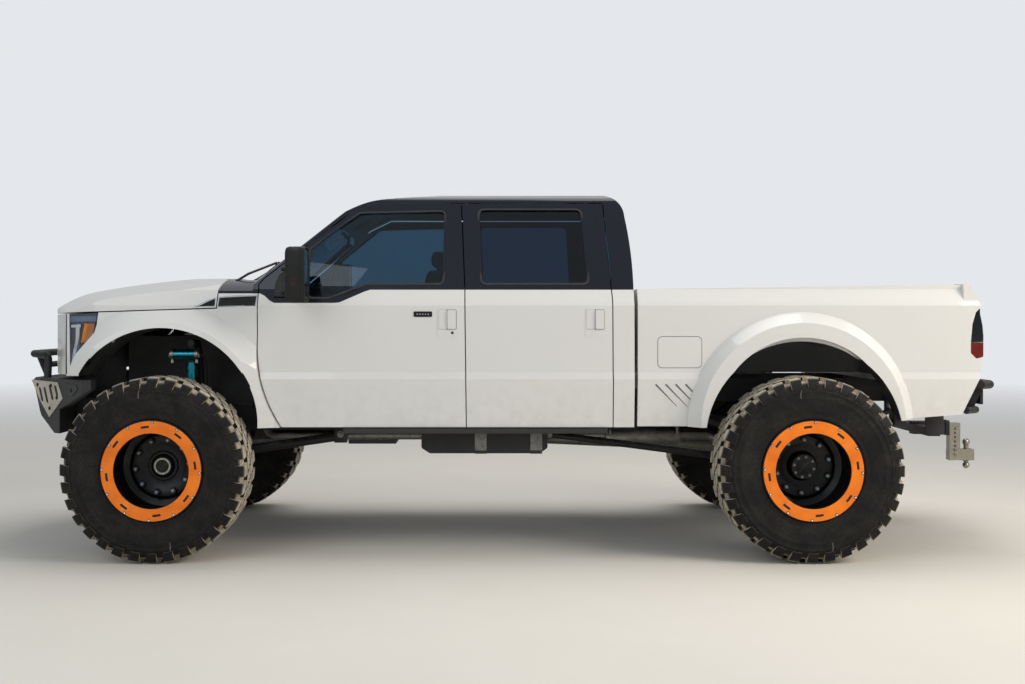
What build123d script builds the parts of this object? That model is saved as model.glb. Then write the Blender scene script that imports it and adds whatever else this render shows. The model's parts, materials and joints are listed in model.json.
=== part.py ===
"""Lifted crew-cab pickup truck, as an assembly of separate pieces.

Frame: +X forward, +Y to the vehicle's left, +Z up, in millimetres. The origin is on the
ground, midway between the two ends, on the centre plane.
"""
from build123d import *
from math import radians, sin, cos, tan
import os

os.makedirs("parts", exist_ok=True)

# Overall layout
wheelbase = 3967
front_overhang = 1035
rear_overhang = 1440
front_axle_x = (wheelbase + front_overhang + rear_overhang) / 2 - front_overhang
rear_axle_x = front_axle_x - wheelbase
front_end_x = front_axle_x + front_overhang
rear_end_x = rear_axle_x - rear_overhang
panel_gap = 7
plug_gap = 16
seat_gap = 0.3

# Tyres and wheels
tyre_radius = 562
tyre_width = 395
tyre_outer_y = 1312
tyre_inner_y = tyre_outer_y - tyre_width
wheel_y = (tyre_outer_y + tyre_inner_y) / 2
tread_half_width = 165
lug_count = 32
lug_gap_width = 43
# radius and offset from the tyre's middle of the groove between two rows of lugs
lug_gap = ((600, -205), (490, -205), (541, -150), (541, 150), (490, 205), (600, 205))
axle_z = tyre_radius
bead_radius = 270
rim_wall = 9
rim_inner_y = tyre_inner_y + 28
ring_inner_radius = 226
ring_outer_radius = 304
ring_thickness = 12
ring_face_y = tyre_outer_y - 4
disc_face_y = 1002
disc_thickness = 14
lug_nut_count = 10
lug_nut_circle_radius = 167.5
lug_nut_radius = 17
lug_nut_length = 30
hub_radius = 95
hub_inner_y = 940
hub_cap_radius = 53
hub_cap_y = 1037
kingpin_y = 880
kingpin_radius = 36
spindle_radius = 30
spindle_fit = 0.05
steering_arm = 215
arm_boss_radius = 26
tie_rod_z = axle_z + 28
tie_rod_radius = 15
tie_rod_eye_radius = 25
ball_pin_radius = 10
ball_pin_fit = 0.6
yoke_height = 92
yoke_plate = 16

# Cab
sill_z = 798
belt_z = 1661
floor_z = 960
underbody_z = 900
cab_rear_x = -745
cab_front_x = 1640
cab_end_wall = 60
door_thickness = 120
frame_thickness = 45
roof_thickness = 40
door_lip = 18
pillar_setback = 47
door_step = 45
roof_crown_z = 2300
rocker_inner_y = 800
b_pillar_x = 313
front_cut_x = 1600
rear_cut_x = -604
door_top_z = 2212
door_bottom_z = sill_z - 40
plug_bottom_z = floor_z + 30
# half width and height of each line of the body side, from the sill to the belt
body_side = (
    (968, sill_z),
    (1012, 1100),
    (1000, 1142),
    (1006, 1558),
    (996, 1582),
    (955, belt_z),
)
rail_point = (752, 2232)
rail_top_point = (690, 2270)
front_hinge_z = (1380, 1580)
rear_hinge_z = (1100, 1480)
hinge_leaf = 10
hinge_leaf_y = (905, 940)
rear_window = ((-560, 560), (1760, 2120))

# Windscreen: a cylinder whose axis lies along the rake
rake = 37.8
screen_radius = 5000
screen_base = (1597, 1735)
screen_sagitta = 81
screen_sill = 45
screen_length = 555
screen_half_widths = (850, 690)
glass_thickness = 6
glass_inset = 10
# where the roof's side edge falls towards the windscreen, seen from the side at roof_edge_y
roof_edge_y = 690
roof_crown_rise = 0.0725
roof_front = (
    (-150, 2300),
    (349, 2274),
    (758, 2254),
    (930, 2230),
    (1060, 2178),
    (1200, 2101),
    (1500, 1936),
)

# Mirrors, seats and dashboard
mirror_x = (1290, 1385)
mirror_y = (1130, 1330)
mirror_z = (1571, 1909)
mirror_arm_z = (1640, 1790)
mirror_arm_radius = 15
seat_y = 400
seat_base_z = floor_z + seat_gap
seat_width = 530
rear_seat_width = 1400
dash_half_width = 835
steering_wheel_centre = (1080, 400, 1560)
steering_wheel_radius = 190

# Front body
skin = 30
front_body_rear_x = 1420
hood_rear_x = 1860
hood_top_z = 1750
hood_crease = (950, 1655)
hood_arc_x = 1950
hood_front_z = 1500
nose_x = 2998
# side edge of the hood at hood_edge_y, and how far it runs forward and up towards the middle
hood_edge_y = 940
hood_edge_lean = (0.5625, 0.129)
hood_edge = (
    (1700, 1692),
    (1975, 1667),
    (2370, 1631),
    (2483, 1617),
    (2602, 1597),
    (2680, 1572),
    (2740, 1545),
    (2800, 1516),
    (2836, 1478),
    (2850, 1400),
)
shut_line_z = 1553
shut_line_slope = 1.8
cowl_side_z = 1634
cowl_drop = 8
cowl_depth = 70
front_arch_radius = 592
front_arch_z = 827
liner_thickness = 10
liner_inner_y = 640
flare_y = 1095
front_flare_radius = 760
# plan stations between which the flare fades out towards the door
flare_fade = ((1500, 1014), (1720, 1100))
lamp_bottom_z = 1122
nose_bottom_z = 1122
grille_half_width = 640
grille_depth = 60
lamp_depth = 80
hood_leaf_y = 600

# Bed
bed_front_x = -765
bed_rear_x = -2896
bed_rise = 0.8
bed_floor_z = 1160
bed_floor_thickness = 30
bed_wall_y = 885
bed_skin_y = 938
rear_arch_radius = 609
rear_arch_z = 721
rear_flare_radius = 700
rear_flare_z = 820
wheelhouse_y = 645
wheelhouse_wall = 12
tailgate_half_width = 765
tailgate_gap = 10
tailgate_thickness = 60
tailgate_hinge = (bed_rear_x + tailgate_thickness / 2, 1175)
tail_lamp_outline = (
    (-2896, 1547),
    (-2909, 1500),
    (-2923, 1435),
    (-2929, 1370),
    (-2929, 1240),
    (-2870, 1227),
    (-2836, 1262),
    (-2836, 1330),
    (-2845, 1440),
    (-2866, 1515),
)
tail_lamp_y = tailgate_half_width + 35

# Chassis frame
rail_outer_y = 465
rail_width = 75
rail_inner_y = rail_outer_y - rail_width
rail_height = 150
rail_z = 740
kick_z = 930
rail_front_x = 2900
rail_rear_x = -2850
spring_y = 560
spring_z = (650, 1010)
spring_radius = 62
shock_y = 740
shock_x = front_axle_x - 117
shock_radius = 36
shock_top_z = 1195
hoop_z = 1318
reservoir_z = 1250
reservoir_radius = 32
reservoir_x = (2015, 2195)
hoop_radius = 22
axle_tube_radius = 50
front_diff_y = -200
diff_radius = 150
rear_diff_radius = 190
leaf_y = 520
leaf_width = 76
receiver_x = (-3045, -2793)
receiver_z = (673, 761)


def save(piece, label):
    """Labels a finished piece and writes its STEP file."""
    piece.label = label
    export_step(piece, f"parts/{label}.step")


def save_pair(piece, left, right):
    """Writes a left-hand piece and its mirror image on the right."""
    save(piece, left)
    save(mirror(piece, about=Plane.XZ), right)


def block(x, y, z, mode=Mode.ADD):
    """A box in the current part, from three (low, high) pairs."""
    with Locations(((x[0] + x[1]) / 2, (y[0] + y[1]) / 2, (z[0] + z[1]) / 2)):
        Box(x[1] - x[0], y[1] - y[0], z[1] - z[0], mode=mode)


def bar(start, end, radius, mode=Mode.ADD):
    """A round bar in the current part, from one point to another."""
    along = Vector(*end) - Vector(*start)
    plane = Plane(origin=start, z_dir=along)
    with BuildSketch(plane, mode=Mode.PRIVATE) as round_section:
        Circle(radius)
    extrude(round_section.sketch, amount=along.length, mode=mode)


def bent_tube(points, radius, bend):
    """A round tube in the current part, along a path with rounded corners."""
    with BuildLine(mode=Mode.PRIVATE) as path:
        FilletPolyline(*points, radius=bend)
    start = Plane(origin=path.line @ 0, z_dir=path.line % 0)
    with BuildSketch(start, mode=Mode.PRIVATE) as disc:
        Circle(radius)
    sweep(disc.sketch, path=path.line)


def turned(points, origin, direction, mode=Mode.ADD):
    """A solid of revolution in the current part, from (radius, distance along axis) points."""
    along = Vector(*direction)
    across = Vector(0, 0, 1) if abs(along.Z) < 0.5 else Vector(1, 0, 0)
    plane = Plane(origin=origin, x_dir=across, z_dir=across.cross(along))
    with BuildSketch(plane, mode=Mode.PRIVATE) as half:
        with BuildLine():
            Polyline(*points, close=True)
        make_face()
    revolve(half.sketch, axis=Axis(origin, direction), mode=mode)


def side_outline(points, radius=0):
    """A closed outline seen from the side, its corners rounded by radius."""
    with BuildSketch(Plane.XZ, mode=Mode.PRIVATE) as face:
        with BuildLine():
            Polyline(*points, close=True)
        make_face()
        if radius:
            fillet(face.vertices(), radius)
    return face.sketch


def side_prism(face, y, mode=Mode.ADD):
    """Extrudes an outline seen from the side between two values of Y."""
    extrude(face.moved(Location((0, y[1], 0))), amount=y[1] - y[0], mode=mode)


def side_extrusion(points, y, radius=0, mode=Mode.ADD):
    """A prism in the current part, from an outline's points seen from the side."""
    side_prism(side_outline(points, radius), y, mode)


def disc_prism(x, z, radius, y, mode=Mode.ADD):
    """A cylinder across the vehicle, between two values of Y."""
    bar((x, y[0], z), (x, y[1], z), radius, mode)


def cab_section(side, glass, roof, floor):
    """The cab's cross-section, its walls drawn in by side, glass and roof."""
    with BuildSketch(Plane.YZ) as face:
        with BuildLine():
            edge = [(y - side, max(z, floor)) for y, z in body_side[:-1]]
            belt = (body_side[-1][0] - glass, belt_z + (side > 0) * 20)
            rail = (rail_point[0] - glass, rail_point[1] - roof * 0.6)
            top = (rail_top_point[0] - roof * 0.4, rail_top_point[1] - roof)
            middle = ((belt[0] + rail[0]) / 2 + 12, (belt[1] + rail[1]) / 2)
            lines = [point for point in edge if point[1] > floor]
            Polyline((0, floor), (edge[0][0], floor), *lines, belt)
            ThreePointArc(belt, middle, rail)
            ThreePointArc(
                rail,
                (rail[0] * 0.42 + top[0] * 0.58 + 8, rail[1] * 0.42 + top[1] * 0.58 + 4),
                top,
            )
            crown = roof_crown_z - roof
            ThreePointArc(top, (top[0] / 2, crown - (crown - top[1]) * 0.25), (0, crown))
            mirror(about=Plane.YZ)
        make_face()
    return face.sketch


def cab_profile(inset, floor):
    """The cab seen from the side, drawn in by inset; the windscreen is cut later."""
    with BuildSketch(Plane.XZ) as face:
        with BuildLine():
            rear = cab_rear_x + inset
            front = cab_front_x - inset
            Polyline((front, 2150), (front, floor), (rear, floor), (rear + 3, 1700))
            ThreePointArc((rear + 3, 1700), (rear + 14, 1910), (rear + 44, 2130))
            ThreePointArc(
                (rear + 44, 2130), (rear + 75, 2215), (rear + 150, 2265 - inset / 4)
            )
            ThreePointArc((rear + 150, 2265 - inset / 4), (-150, 2330), (400, 2320))
            ThreePointArc((400, 2320), (980, 2270), (1250, 2225))
            Line((1250, 2225), (front, 2150))
        make_face()
    return face.sketch


screen_normal = Vector(sin(radians(rake)), 0, cos(radians(rake)))
screen_down = Vector(cos(radians(rake)), 0, -sin(radians(rake)))
screen_plane = Plane(
    origin=(screen_base[0], 0, screen_base[1]), x_dir=(0, 1, 0), z_dir=screen_normal
)


def screen_cylinder(inset):
    """Keeps what lies behind the windscreen's curved face, drawn in by inset."""
    centre = (
        Vector(screen_base[0], 0, screen_base[1])
        + screen_normal * (screen_sagitta - screen_radius)
        - screen_down * 4000
    )
    with BuildSketch(Plane(origin=centre, z_dir=screen_down), mode=Mode.PRIVATE) as disc:
        Circle(screen_radius - inset)
    extrude(disc.sketch, amount=8000, mode=Mode.INTERSECT)


def leaning_cuts(curve, y, inward, shift):
    """What lies above a curve at each side, carried inwards along a slanted line.

    The curve is seen from the side at the given half width and moved by shift; inward is how
    far it runs forward and up for each millimetre towards the centre plane.
    """
    points = [(x + shift[0], z + shift[1]) for x, z in curve]
    high = roof_crown_z + 200
    direction = Vector(inward[0], -1, inward[1])
    with BuildPart() as cuts:
        with BuildSketch(Plane.XZ.offset(-y)) as above:
            with BuildLine():
                Spline(*points)
                Polyline(points[-1], (points[-1][0], high), (points[0][0], high), points[0])
            make_face()
        extrude(amount=y * direction.length, dir=direction)
        mirror(about=Plane.XZ)
    return cuts.part


def cab_volume(side, glass, roof, floor, end):
    """The cab's outer or inner volume as a solid."""
    section = cab_section(side, glass, roof, floor)
    profile = cab_profile(end, floor)
    spread = 1000 - roof_edge_y
    roof_cuts = leaning_cuts(
        roof_front, 1000, (0, roof_crown_rise), (-roof / 2, -roof - spread * roof_crown_rise)
    )
    with BuildPart() as volume:
        start = Location((cab_rear_x + end, 0, 0))
        extrude(section.moved(start), amount=cab_front_x - cab_rear_x - 2 * end)
        extrude(profile, amount=1200, both=True, mode=Mode.INTERSECT)
        screen_cylinder(end)
        add(roof_cuts, mode=Mode.SUBTRACT)
    return volume.part


def front_door_outline():
    """The front door's cut line, seen from the side."""
    with BuildSketch(Plane.XZ) as face:
        with BuildLine():
            Polyline(
                (front_cut_x, 1350),
                (front_cut_x, 1692),
                (1568, 1728),
                (1057, 2140),
                (900, door_top_z),
                (b_pillar_x + 25 + panel_gap / 2, door_top_z),
                (b_pillar_x + panel_gap / 2, belt_z),
                (b_pillar_x - 10 + panel_gap / 2, door_bottom_z),
                (1432, door_bottom_z),
            )
            ThreePointArc((1432, door_bottom_z), (1551, 990), (front_cut_x, 1350))
        make_face()
    return face.sketch


def rear_door_outline():
    """The rear door's cut line, seen from the side."""
    return side_outline(
        (
            (b_pillar_x - 10 - panel_gap / 2, door_bottom_z),
            (b_pillar_x - panel_gap / 2, belt_z),
            (b_pillar_x + 25 - panel_gap / 2, door_top_z),
            (rear_cut_x + 42, door_top_z),
            (rear_cut_x, belt_z - 60),
            (rear_cut_x - 6, door_bottom_z),
        )
    )


def hinge_leaves(edges, on_door):
    """Hinge leaves for one left-hand door, from (edge of the inner step, height) pairs."""
    for edge, z in edges:
        if on_door:
            block((edge - 3, edge + plug_gap - 5), hinge_leaf_y, (z - hinge_leaf, z))
        else:
            block(
                (edge + 5, edge + plug_gap + 3),
                hinge_leaf_y,
                (z + seat_gap, z + seat_gap + hinge_leaf),
            )


def inner_outline(outline):
    """The outline of the door's inner step, which ends above the cab's floor."""
    with BuildSketch(Plane.XZ) as face:
        add(offset(outline, amount=-door_step, kind=Kind.INTERSECTION, mode=Mode.PRIVATE))
        with Locations((b_pillar_x, plug_bottom_z - 500)):
            Rectangle(4000, 1000, mode=Mode.SUBTRACT)
    return face.sketch


def screen_outline():
    """The windscreen's opening, on the plane of its rake."""
    low, high = screen_half_widths
    with BuildSketch(screen_plane) as face:
        with BuildLine():
            Polyline(
                (low, screen_sill),
                (high, screen_length),
                (-high, screen_length),
                (-low, screen_sill),
                close=True,
            )
        make_face()
        fillet(face.vertices(), 40)
    return face.sketch


def shut_z(x):
    """Height of the line where the hood meets the fenders."""
    return shut_line_z - (x - front_cut_x) * tan(radians(shut_line_slope))


def front_volume(inset):
    """The volume of the body ahead of the doors, drawn in by inset."""
    top = hood_top_z - inset
    crease = (hood_crease[0] - inset, hood_crease[1] - inset / 2)
    corner = (2810 - inset, 940 - inset)
    start_y = 1060
    spread = start_y - hood_edge_y
    shoulder_cuts = leaning_cuts(
        hood_edge,
        start_y,
        hood_edge_lean,
        (-spread * hood_edge_lean[0] - inset / 2, -spread * hood_edge_lean[1] - inset),
    )
    with BuildPart() as volume:
        with BuildSketch(Plane.YZ.offset(front_body_rear_x)):
            with BuildLine():
                Polyline((0, sill_z), *((y - inset, z) for y, z in body_side[:4]), crease)
                ThreePointArc(crease, (760, top - 38), (480, top - 12))
                ThreePointArc((480, top - 12), (240, top - 2), (0, top))
                mirror(about=Plane.YZ)
            make_face()
        extrude(amount=nose_x - front_body_rear_x)
        with BuildSketch(Plane.XZ):
            with BuildLine():
                Polyline(
                    (hood_arc_x, top),
                    (front_body_rear_x, top),
                    (front_body_rear_x, sill_z),
                    (front_axle_x, sill_z),
                    (front_axle_x + 300, nose_bottom_z),
                    (nose_x - 35 - inset, nose_bottom_z),
                    (nose_x - inset, hood_front_z - inset),
                )
                ThreePointArc(
                    (nose_x - inset, hood_front_z - inset),
                    (nose_x - 123 - inset / 2, 1590 - inset),
                    (2700, 1655 - inset),
                )
                ThreePointArc((2700, 1655 - inset), (2370, 1711 - inset), (hood_arc_x, top))
            make_face()
        extrude(amount=1200, both=True, mode=Mode.INTERSECT)
        with BuildSketch(Plane.XY):
            with BuildLine():
                Polyline(
                    (front_body_rear_x - 1, 0),
                    (front_body_rear_x - 1, 1030),
                    (2400, 1030),
                    (2400, 1016 - inset),
                )
                ThreePointArc((2400, 1016 - inset), (2640 - inset / 2, 1000 - inset), corner)
                ThreePointArc(corner, (2945 - inset, 700 - inset / 2), (nose_x - inset, 0))
                mirror(about=Plane.XZ)
            make_face()
        extrude(amount=1900, mode=Mode.INTERSECT)
        add(shoulder_cuts, mode=Mode.SUBTRACT)
    return volume.part


# Outlines and volumes that several pieces are cut from
front_outline = front_door_outline()
rear_outline = rear_door_outline()
front_hinges = [(front_cut_x - door_step, z) for z in front_hinge_z]
b_pillar_slope = 10 / (belt_z - door_bottom_z)
rear_hinges = [
    (b_pillar_x - panel_gap / 2 - b_pillar_slope * (belt_z - z) - door_step, z)
    for z in rear_hinge_z
]
front_plug = inner_outline(front_outline)
rear_plug = inner_outline(rear_outline)
front_cut = offset(front_outline, amount=panel_gap)
rear_cut = offset(rear_outline, amount=panel_gap)
front_opening = offset(front_plug, amount=plug_gap)
rear_opening = offset(rear_plug, amount=plug_gap)
screen_opening = screen_outline()
front_window = side_outline(
    (
        (453, 1701),
        (447, 2160),
        (985, 2148),
        (1290, 1912),
        (1290, 1612),
        (1165, 1612),
        (925, 1701),
    ),
    22,
)
back_window = side_outline(((-458, 1701), (-420, 2170), (224, 2170), (204, 1701)), 35)
lamp_outline = side_outline(
    (
        (2596, shut_z(2596) - panel_gap),
        (2613, 1390),
        (2726, 1257),
        (2796, lamp_bottom_z),
        (3100, lamp_bottom_z),
        (3100, shut_z(3100) - panel_gap),
    )
)
lamp_cut = offset(lamp_outline, amount=4)
hood_outline = side_outline(
    (
        (hood_rear_x, shut_z(hood_rear_x)),
        (3100, shut_z(3100)),
        (3100, 1900),
        (hood_rear_x, 1900),
    )
)
fender_outline = side_outline(
    (
        (front_body_rear_x + 1, sill_z),
        (front_body_rear_x + 1, cowl_side_z),
        (hood_rear_x - panel_gap, cowl_side_z),
        (hood_rear_x - panel_gap, shut_z(hood_rear_x) - panel_gap),
        (2900, shut_z(2900) - panel_gap),
        (2900, nose_bottom_z),
        (front_axle_x + 300, nose_bottom_z),
        (front_axle_x, sill_z),
    )
)
outer_volume = cab_volume(0, 0, 0, sill_z, 0)
lip_volume = cab_volume(door_lip, door_lip, door_lip, sill_z - 5, door_lip)
setback_volume = cab_volume(*([pillar_setback] * 3), sill_z - 5, pillar_setback)
cabin_volume = cab_volume(
    door_thickness, frame_thickness, roof_thickness, floor_z, cab_end_wall
)
glass_back = glass_inset + glass_thickness
glass_outer = cab_volume(*([glass_inset] * 3), sill_z - 5, glass_inset)
glass_inner = cab_volume(*([glass_back] * 3), sill_z - 5, glass_back)
with BuildPart() as glass_layer:
    add(glass_outer)
    add(glass_inner, mode=Mode.SUBTRACT)
front_outer = front_volume(0)
front_inner = front_volume(skin)
cowl_outer = front_volume(cowl_drop)
cowl_inner = front_volume(cowl_depth)
lamp_inner = front_volume(lamp_depth)
grille_inner = front_volume(grille_depth)
with BuildPart() as front_shell:
    add(front_outer)
    add(front_inner, mode=Mode.SUBTRACT)

# Cab shell: floor, pillars, roof and back wall, with stepped door openings
with BuildPart() as rebates:
    side_prism(front_cut, (-1100, 1100))
    side_prism(rear_cut, (-1100, 1100))
    block((front_body_rear_x, 1800), (-1100, 1100), (sill_z - 40, cowl_side_z + panel_gap))
    add(setback_volume, mode=Mode.SUBTRACT)
with BuildPart() as panes:
    extrude(screen_opening, amount=300, both=True)
    block((cab_rear_x - 50, cab_rear_x + 200), *rear_window)
with BuildPart() as pillar_leaves:
    hinge_leaves(front_hinges, False)
    hinge_leaves(rear_hinges, False)
with BuildPart() as cab:
    add(outer_volume)
    add(cabin_volume, mode=Mode.SUBTRACT)
    block(
        (cab_rear_x - 5, cab_front_x + 5),
        (-rocker_inner_y, rocker_inner_y),
        (sill_z - 5, underbody_z),
        Mode.SUBTRACT,
    )
    add(rebates.part, mode=Mode.SUBTRACT)
    side_prism(front_opening, (-1100, 1100), Mode.SUBTRACT)
    side_prism(rear_opening, (-1100, 1100), Mode.SUBTRACT)
    disc_prism(
        front_axle_x,
        front_arch_z,
        front_arch_radius + liner_thickness,
        (-1100, 1100),
        Mode.SUBTRACT,
    )
    add(panes.part, mode=Mode.SUBTRACT)
    add(pillar_leaves.part)
    add(mirror(pillar_leaves.part, about=Plane.XZ, mode=Mode.PRIVATE))
save(cab.part, "cab")

with BuildPart() as cab_glass:
    add(glass_layer.part)
    add(panes.part, mode=Mode.INTERSECT)
save(cab_glass.part, "cab_glass")

# Doors, each a skin over a stepped plug, with its own pane
for name, outline, plug, window, hinges in (
    ("front", front_outline, front_plug, front_window, front_hinges),
    ("rear", rear_outline, rear_plug, back_window, rear_hinges),
):
    with BuildPart() as door:
        side_prism(outline, (300, 1100))
        add(lip_volume, mode=Mode.SUBTRACT)
        side_prism(plug, (300, 1100))
        add(outer_volume, mode=Mode.INTERSECT)
        add(cabin_volume, mode=Mode.SUBTRACT)
        side_prism(window, (300, 1100), Mode.SUBTRACT)
        hinge_leaves(hinges, True)
    save_pair(door.part, f"{name}_door_left", f"{name}_door_right")
    with BuildPart() as pane:
        side_prism(window, (300, 1100))
        add(glass_layer.part, mode=Mode.INTERSECT)
    save_pair(pane.part, f"{name}_door_glass_left", f"{name}_door_glass_right")

with BuildPart() as mirror_head:
    with BuildSketch(Plane.XZ.offset(-mirror_y[1])):
        with Locations((sum(mirror_x) / 2, sum(mirror_z) / 2)):
            RectangleRounded(mirror_x[1] - mirror_x[0], mirror_z[1] - mirror_z[0], 28)
    extrude(amount=mirror_y[1] - mirror_y[0])
    for height in mirror_arm_z:
        bar(
            (1440, 840, height),
            (mirror_x[1] - 45, mirror_y[0] + 25, height + 18),
            mirror_arm_radius,
        )
    add(outer_volume, mode=Mode.SUBTRACT)
save_pair(mirror_head.part, "mirror_left", "mirror_right")

# Cabin: the dashboard with its steering wheel, and the seats
with BuildPart() as dashboard:
    front = cab_front_x - cab_end_wall
    side_extrusion(
        (
            (front, 1250),
            (front, 1650),
            (1420, 1680),
            (1230, 1650),
            (1205, 1600),
            (1290, 1250),
        ),
        (-dash_half_width, dash_half_width),
    )
    wheel_axis = Vector(-0.9, 0, 0.44).normalized()
    wheel_plane = Plane(origin=steering_wheel_centre, x_dir=(0, 1, 0), z_dir=wheel_axis)
    with BuildSketch(wheel_plane):
        Circle(steering_wheel_radius)
        Circle(steering_wheel_radius - 30, mode=Mode.SUBTRACT)
        Circle(55)
        for angle in (180, 270, 0):
            with Locations(Location((0, 0), angle)):
                with Locations((steering_wheel_radius / 2 - 5, 0)):
                    Rectangle(steering_wheel_radius - 25, 36)
    extrude(amount=-26)
    bar(wheel_plane.origin - wheel_axis * 10, wheel_plane.origin - wheel_axis * 280, 24)
save(dashboard.part, "dashboard")

front_seat_outline = (
    (530, seat_base_z),
    (560, 1180),
    (430, 1800),
    (470, 1930),
    (545, 1930),
    (570, 1790),
    (690, 1285),
    (1060, 1305),
    (1090, 1225),
    (1030, seat_base_z),
)
rear_seat_outline = (
    (-640, seat_base_z),
    (-600, 1200),
    (-665, 1780),
    (-620, 1850),
    (-560, 1820),
    (-440, 1330),
    (-30, 1330),
    (0, 1250),
    (-60, seat_base_z),
)
# outline, place across the cab and width of each seat
seat_rows = (
    (front_seat_outline, seat_y, seat_width),
    (front_seat_outline, -seat_y, seat_width),
    (rear_seat_outline, 0, rear_seat_width),
)
with BuildPart() as seats:
    for outline, y, width in seat_rows:
        side_extrusion(outline, (y - width / 2, y + width / 2), 12)
save(seats.part, "seats")

# Front body: hood, fenders, cowl, lamps, grille and wheel liners
with BuildPart() as hood:
    side_prism(hood_outline, (-1100, 1100))
    add(front_shell.part, mode=Mode.INTERSECT)
    for side in (1, -1):
        leaf_y_range = sorted((side * hood_leaf_y, side * (hood_leaf_y - hinge_leaf)))
        block((hood_rear_x + 2, hood_rear_x + 40), leaf_y_range, (1660, 1715))
save(hood.part, "hood")

with BuildPart() as cowl:
    add(cowl_outer)
    block((cab_front_x, hood_rear_x - panel_gap), (-1100, 1100), (cowl_side_z + 4, 1900),
          Mode.INTERSECT)
    add(cowl_inner, mode=Mode.SUBTRACT)
    for side in (1, -1):
        low = hood_leaf_y + seat_gap
        leaf_y_range = sorted((side * low, side * (low + hinge_leaf)))
        block((hood_rear_x - panel_gap - 5, hood_rear_x + 30), leaf_y_range, (1668, 1695))
save(cowl.part, "cowl")

with BuildPart() as arch_flare:
    turned(
        (
            (front_arch_radius, 960),
            (front_arch_radius, flare_y),
            (front_arch_radius + 34, flare_y - 6),
            (front_flare_radius, 990),
            (front_flare_radius, 960),
        ),
        (front_axle_x, 0, front_arch_z),
        (0, 1, 0),
    )
with BuildPart() as fender:
    add(front_shell.part)
    add(arch_flare.part)
    side_prism(fender_outline, (300, 1200), Mode.INTERSECT)
    add(front_inner, mode=Mode.SUBTRACT)
    side_prism(front_cut, (300, 1200), Mode.SUBTRACT)
    side_prism(lamp_cut, (300, 1200), Mode.SUBTRACT)
    block((2500, 3100), (200, grille_half_width), (1000, 1600), Mode.SUBTRACT)
    disc_prism(front_axle_x, front_arch_z, front_arch_radius, (300, 1200), Mode.SUBTRACT)
    with BuildSketch(Plane.XY):
        with BuildLine():
            Polyline((1400, 0), (1400, flare_fade[0][1]), *flare_fade)
            Polyline(flare_fade[1], (2480, flare_fade[1][1]), (2480, flare_y))
            ThreePointArc((2480, flare_y), (2700, 1060), (2850, 960))
            Polyline((2850, 960), (3020, 700), (3020, 0), (1400, 0))
        make_face()
    extrude(amount=1900, mode=Mode.INTERSECT)
save_pair(fender.part, "fender_left", "fender_right")

with BuildPart() as wheel_liners:
    for side in (1, -1):
        y = sorted((side * liner_inner_y, side * 1100))
        disc_prism(front_axle_x, front_arch_z, front_arch_radius + liner_thickness, y)
        disc_prism(front_axle_x, front_arch_z, front_arch_radius, y, Mode.SUBTRACT)
    block((1000, 3000), (-1200, 1200), (0, sill_z + 30), Mode.SUBTRACT)
    block((front_axle_x + 100, 3000), (-1200, 1200), (0, nose_bottom_z), Mode.SUBTRACT)
    add(front_inner, mode=Mode.INTERSECT)
save(wheel_liners.part, "wheel_liners")

with BuildPart() as lamp_layer:
    add(front_outer)
    add(lamp_inner, mode=Mode.SUBTRACT)
    side_prism(lamp_outline, (-1100, 1100), Mode.INTERSECT)
with BuildPart() as headlamps:
    add(lamp_layer.part)
    block((2400, 3100), (-grille_half_width, grille_half_width), (900, 1700), Mode.SUBTRACT)
save(headlamps.part, "headlamps")

with BuildPart() as grille:
    add(front_outer)
    add(grille_inner, mode=Mode.SUBTRACT)
    block((2500, 3100), (-grille_half_width, grille_half_width), (nose_bottom_z, 1600),
          Mode.INTERSECT)
    side_prism(hood_outline.moved(Location((0, 0, -panel_gap))), (-1100, 1100), Mode.SUBTRACT)
    for y in (-305, 305):
        for z in (1190, 1270, 1350, 1430):
            block((2500, 3100), (y - 270, y + 270), (z - 25, z + 25), Mode.SUBTRACT)
save(grille.part, "grille")

with BuildPart() as radiator_support:
    block((2830, 2870), (-620, 620), (870, 1480))
    block((2850, 3000), (-600, -520), (1130, 1160))
    block((2850, 3000), (520, 600), (1130, 1160))
    add(grille_inner, mode=Mode.INTERSECT)
    block((2830, 2870), (-rail_outer_y, rail_outer_y), (800 + rail_height, nose_bottom_z))
save(radiator_support.part, "radiator_support")

# Bed: side walls with flares, floor with wheelhouses, tailgate and tail lamps
bed_corner_x = bed_rear_x + 55
bed_corner_z = belt_z + (bed_front_x - bed_corner_x) * tan(radians(bed_rise))
with BuildSketch(Plane.XZ) as bed_face:
    with BuildLine():
        Polyline(
            (bed_corner_x, bed_corner_z),
            (bed_front_x, belt_z),
            (bed_front_x, 804),
            (-1165, 804),
            (-2364, 846),
            (-2790, 878),
            (bed_rear_x, 1120),
            (bed_rear_x, 1545),
        )
        ThreePointArc(
            (bed_rear_x, 1545), (bed_rear_x + 20, 1622), (bed_corner_x, bed_corner_z)
        )
    make_face()
bed_outline = bed_face.sketch
lamp_end = side_outline(tail_lamp_outline, 9)
with BuildPart() as rear_flare:
    turned(
        (
            (540, 950),
            (540, flare_y),
            (630, flare_y - 4),
            (rear_flare_radius, 1004),
            (rear_flare_radius, 950),
        ),
        (rear_axle_x + 6, 0, rear_flare_z),
        (0, 1, 0),
    )
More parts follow.
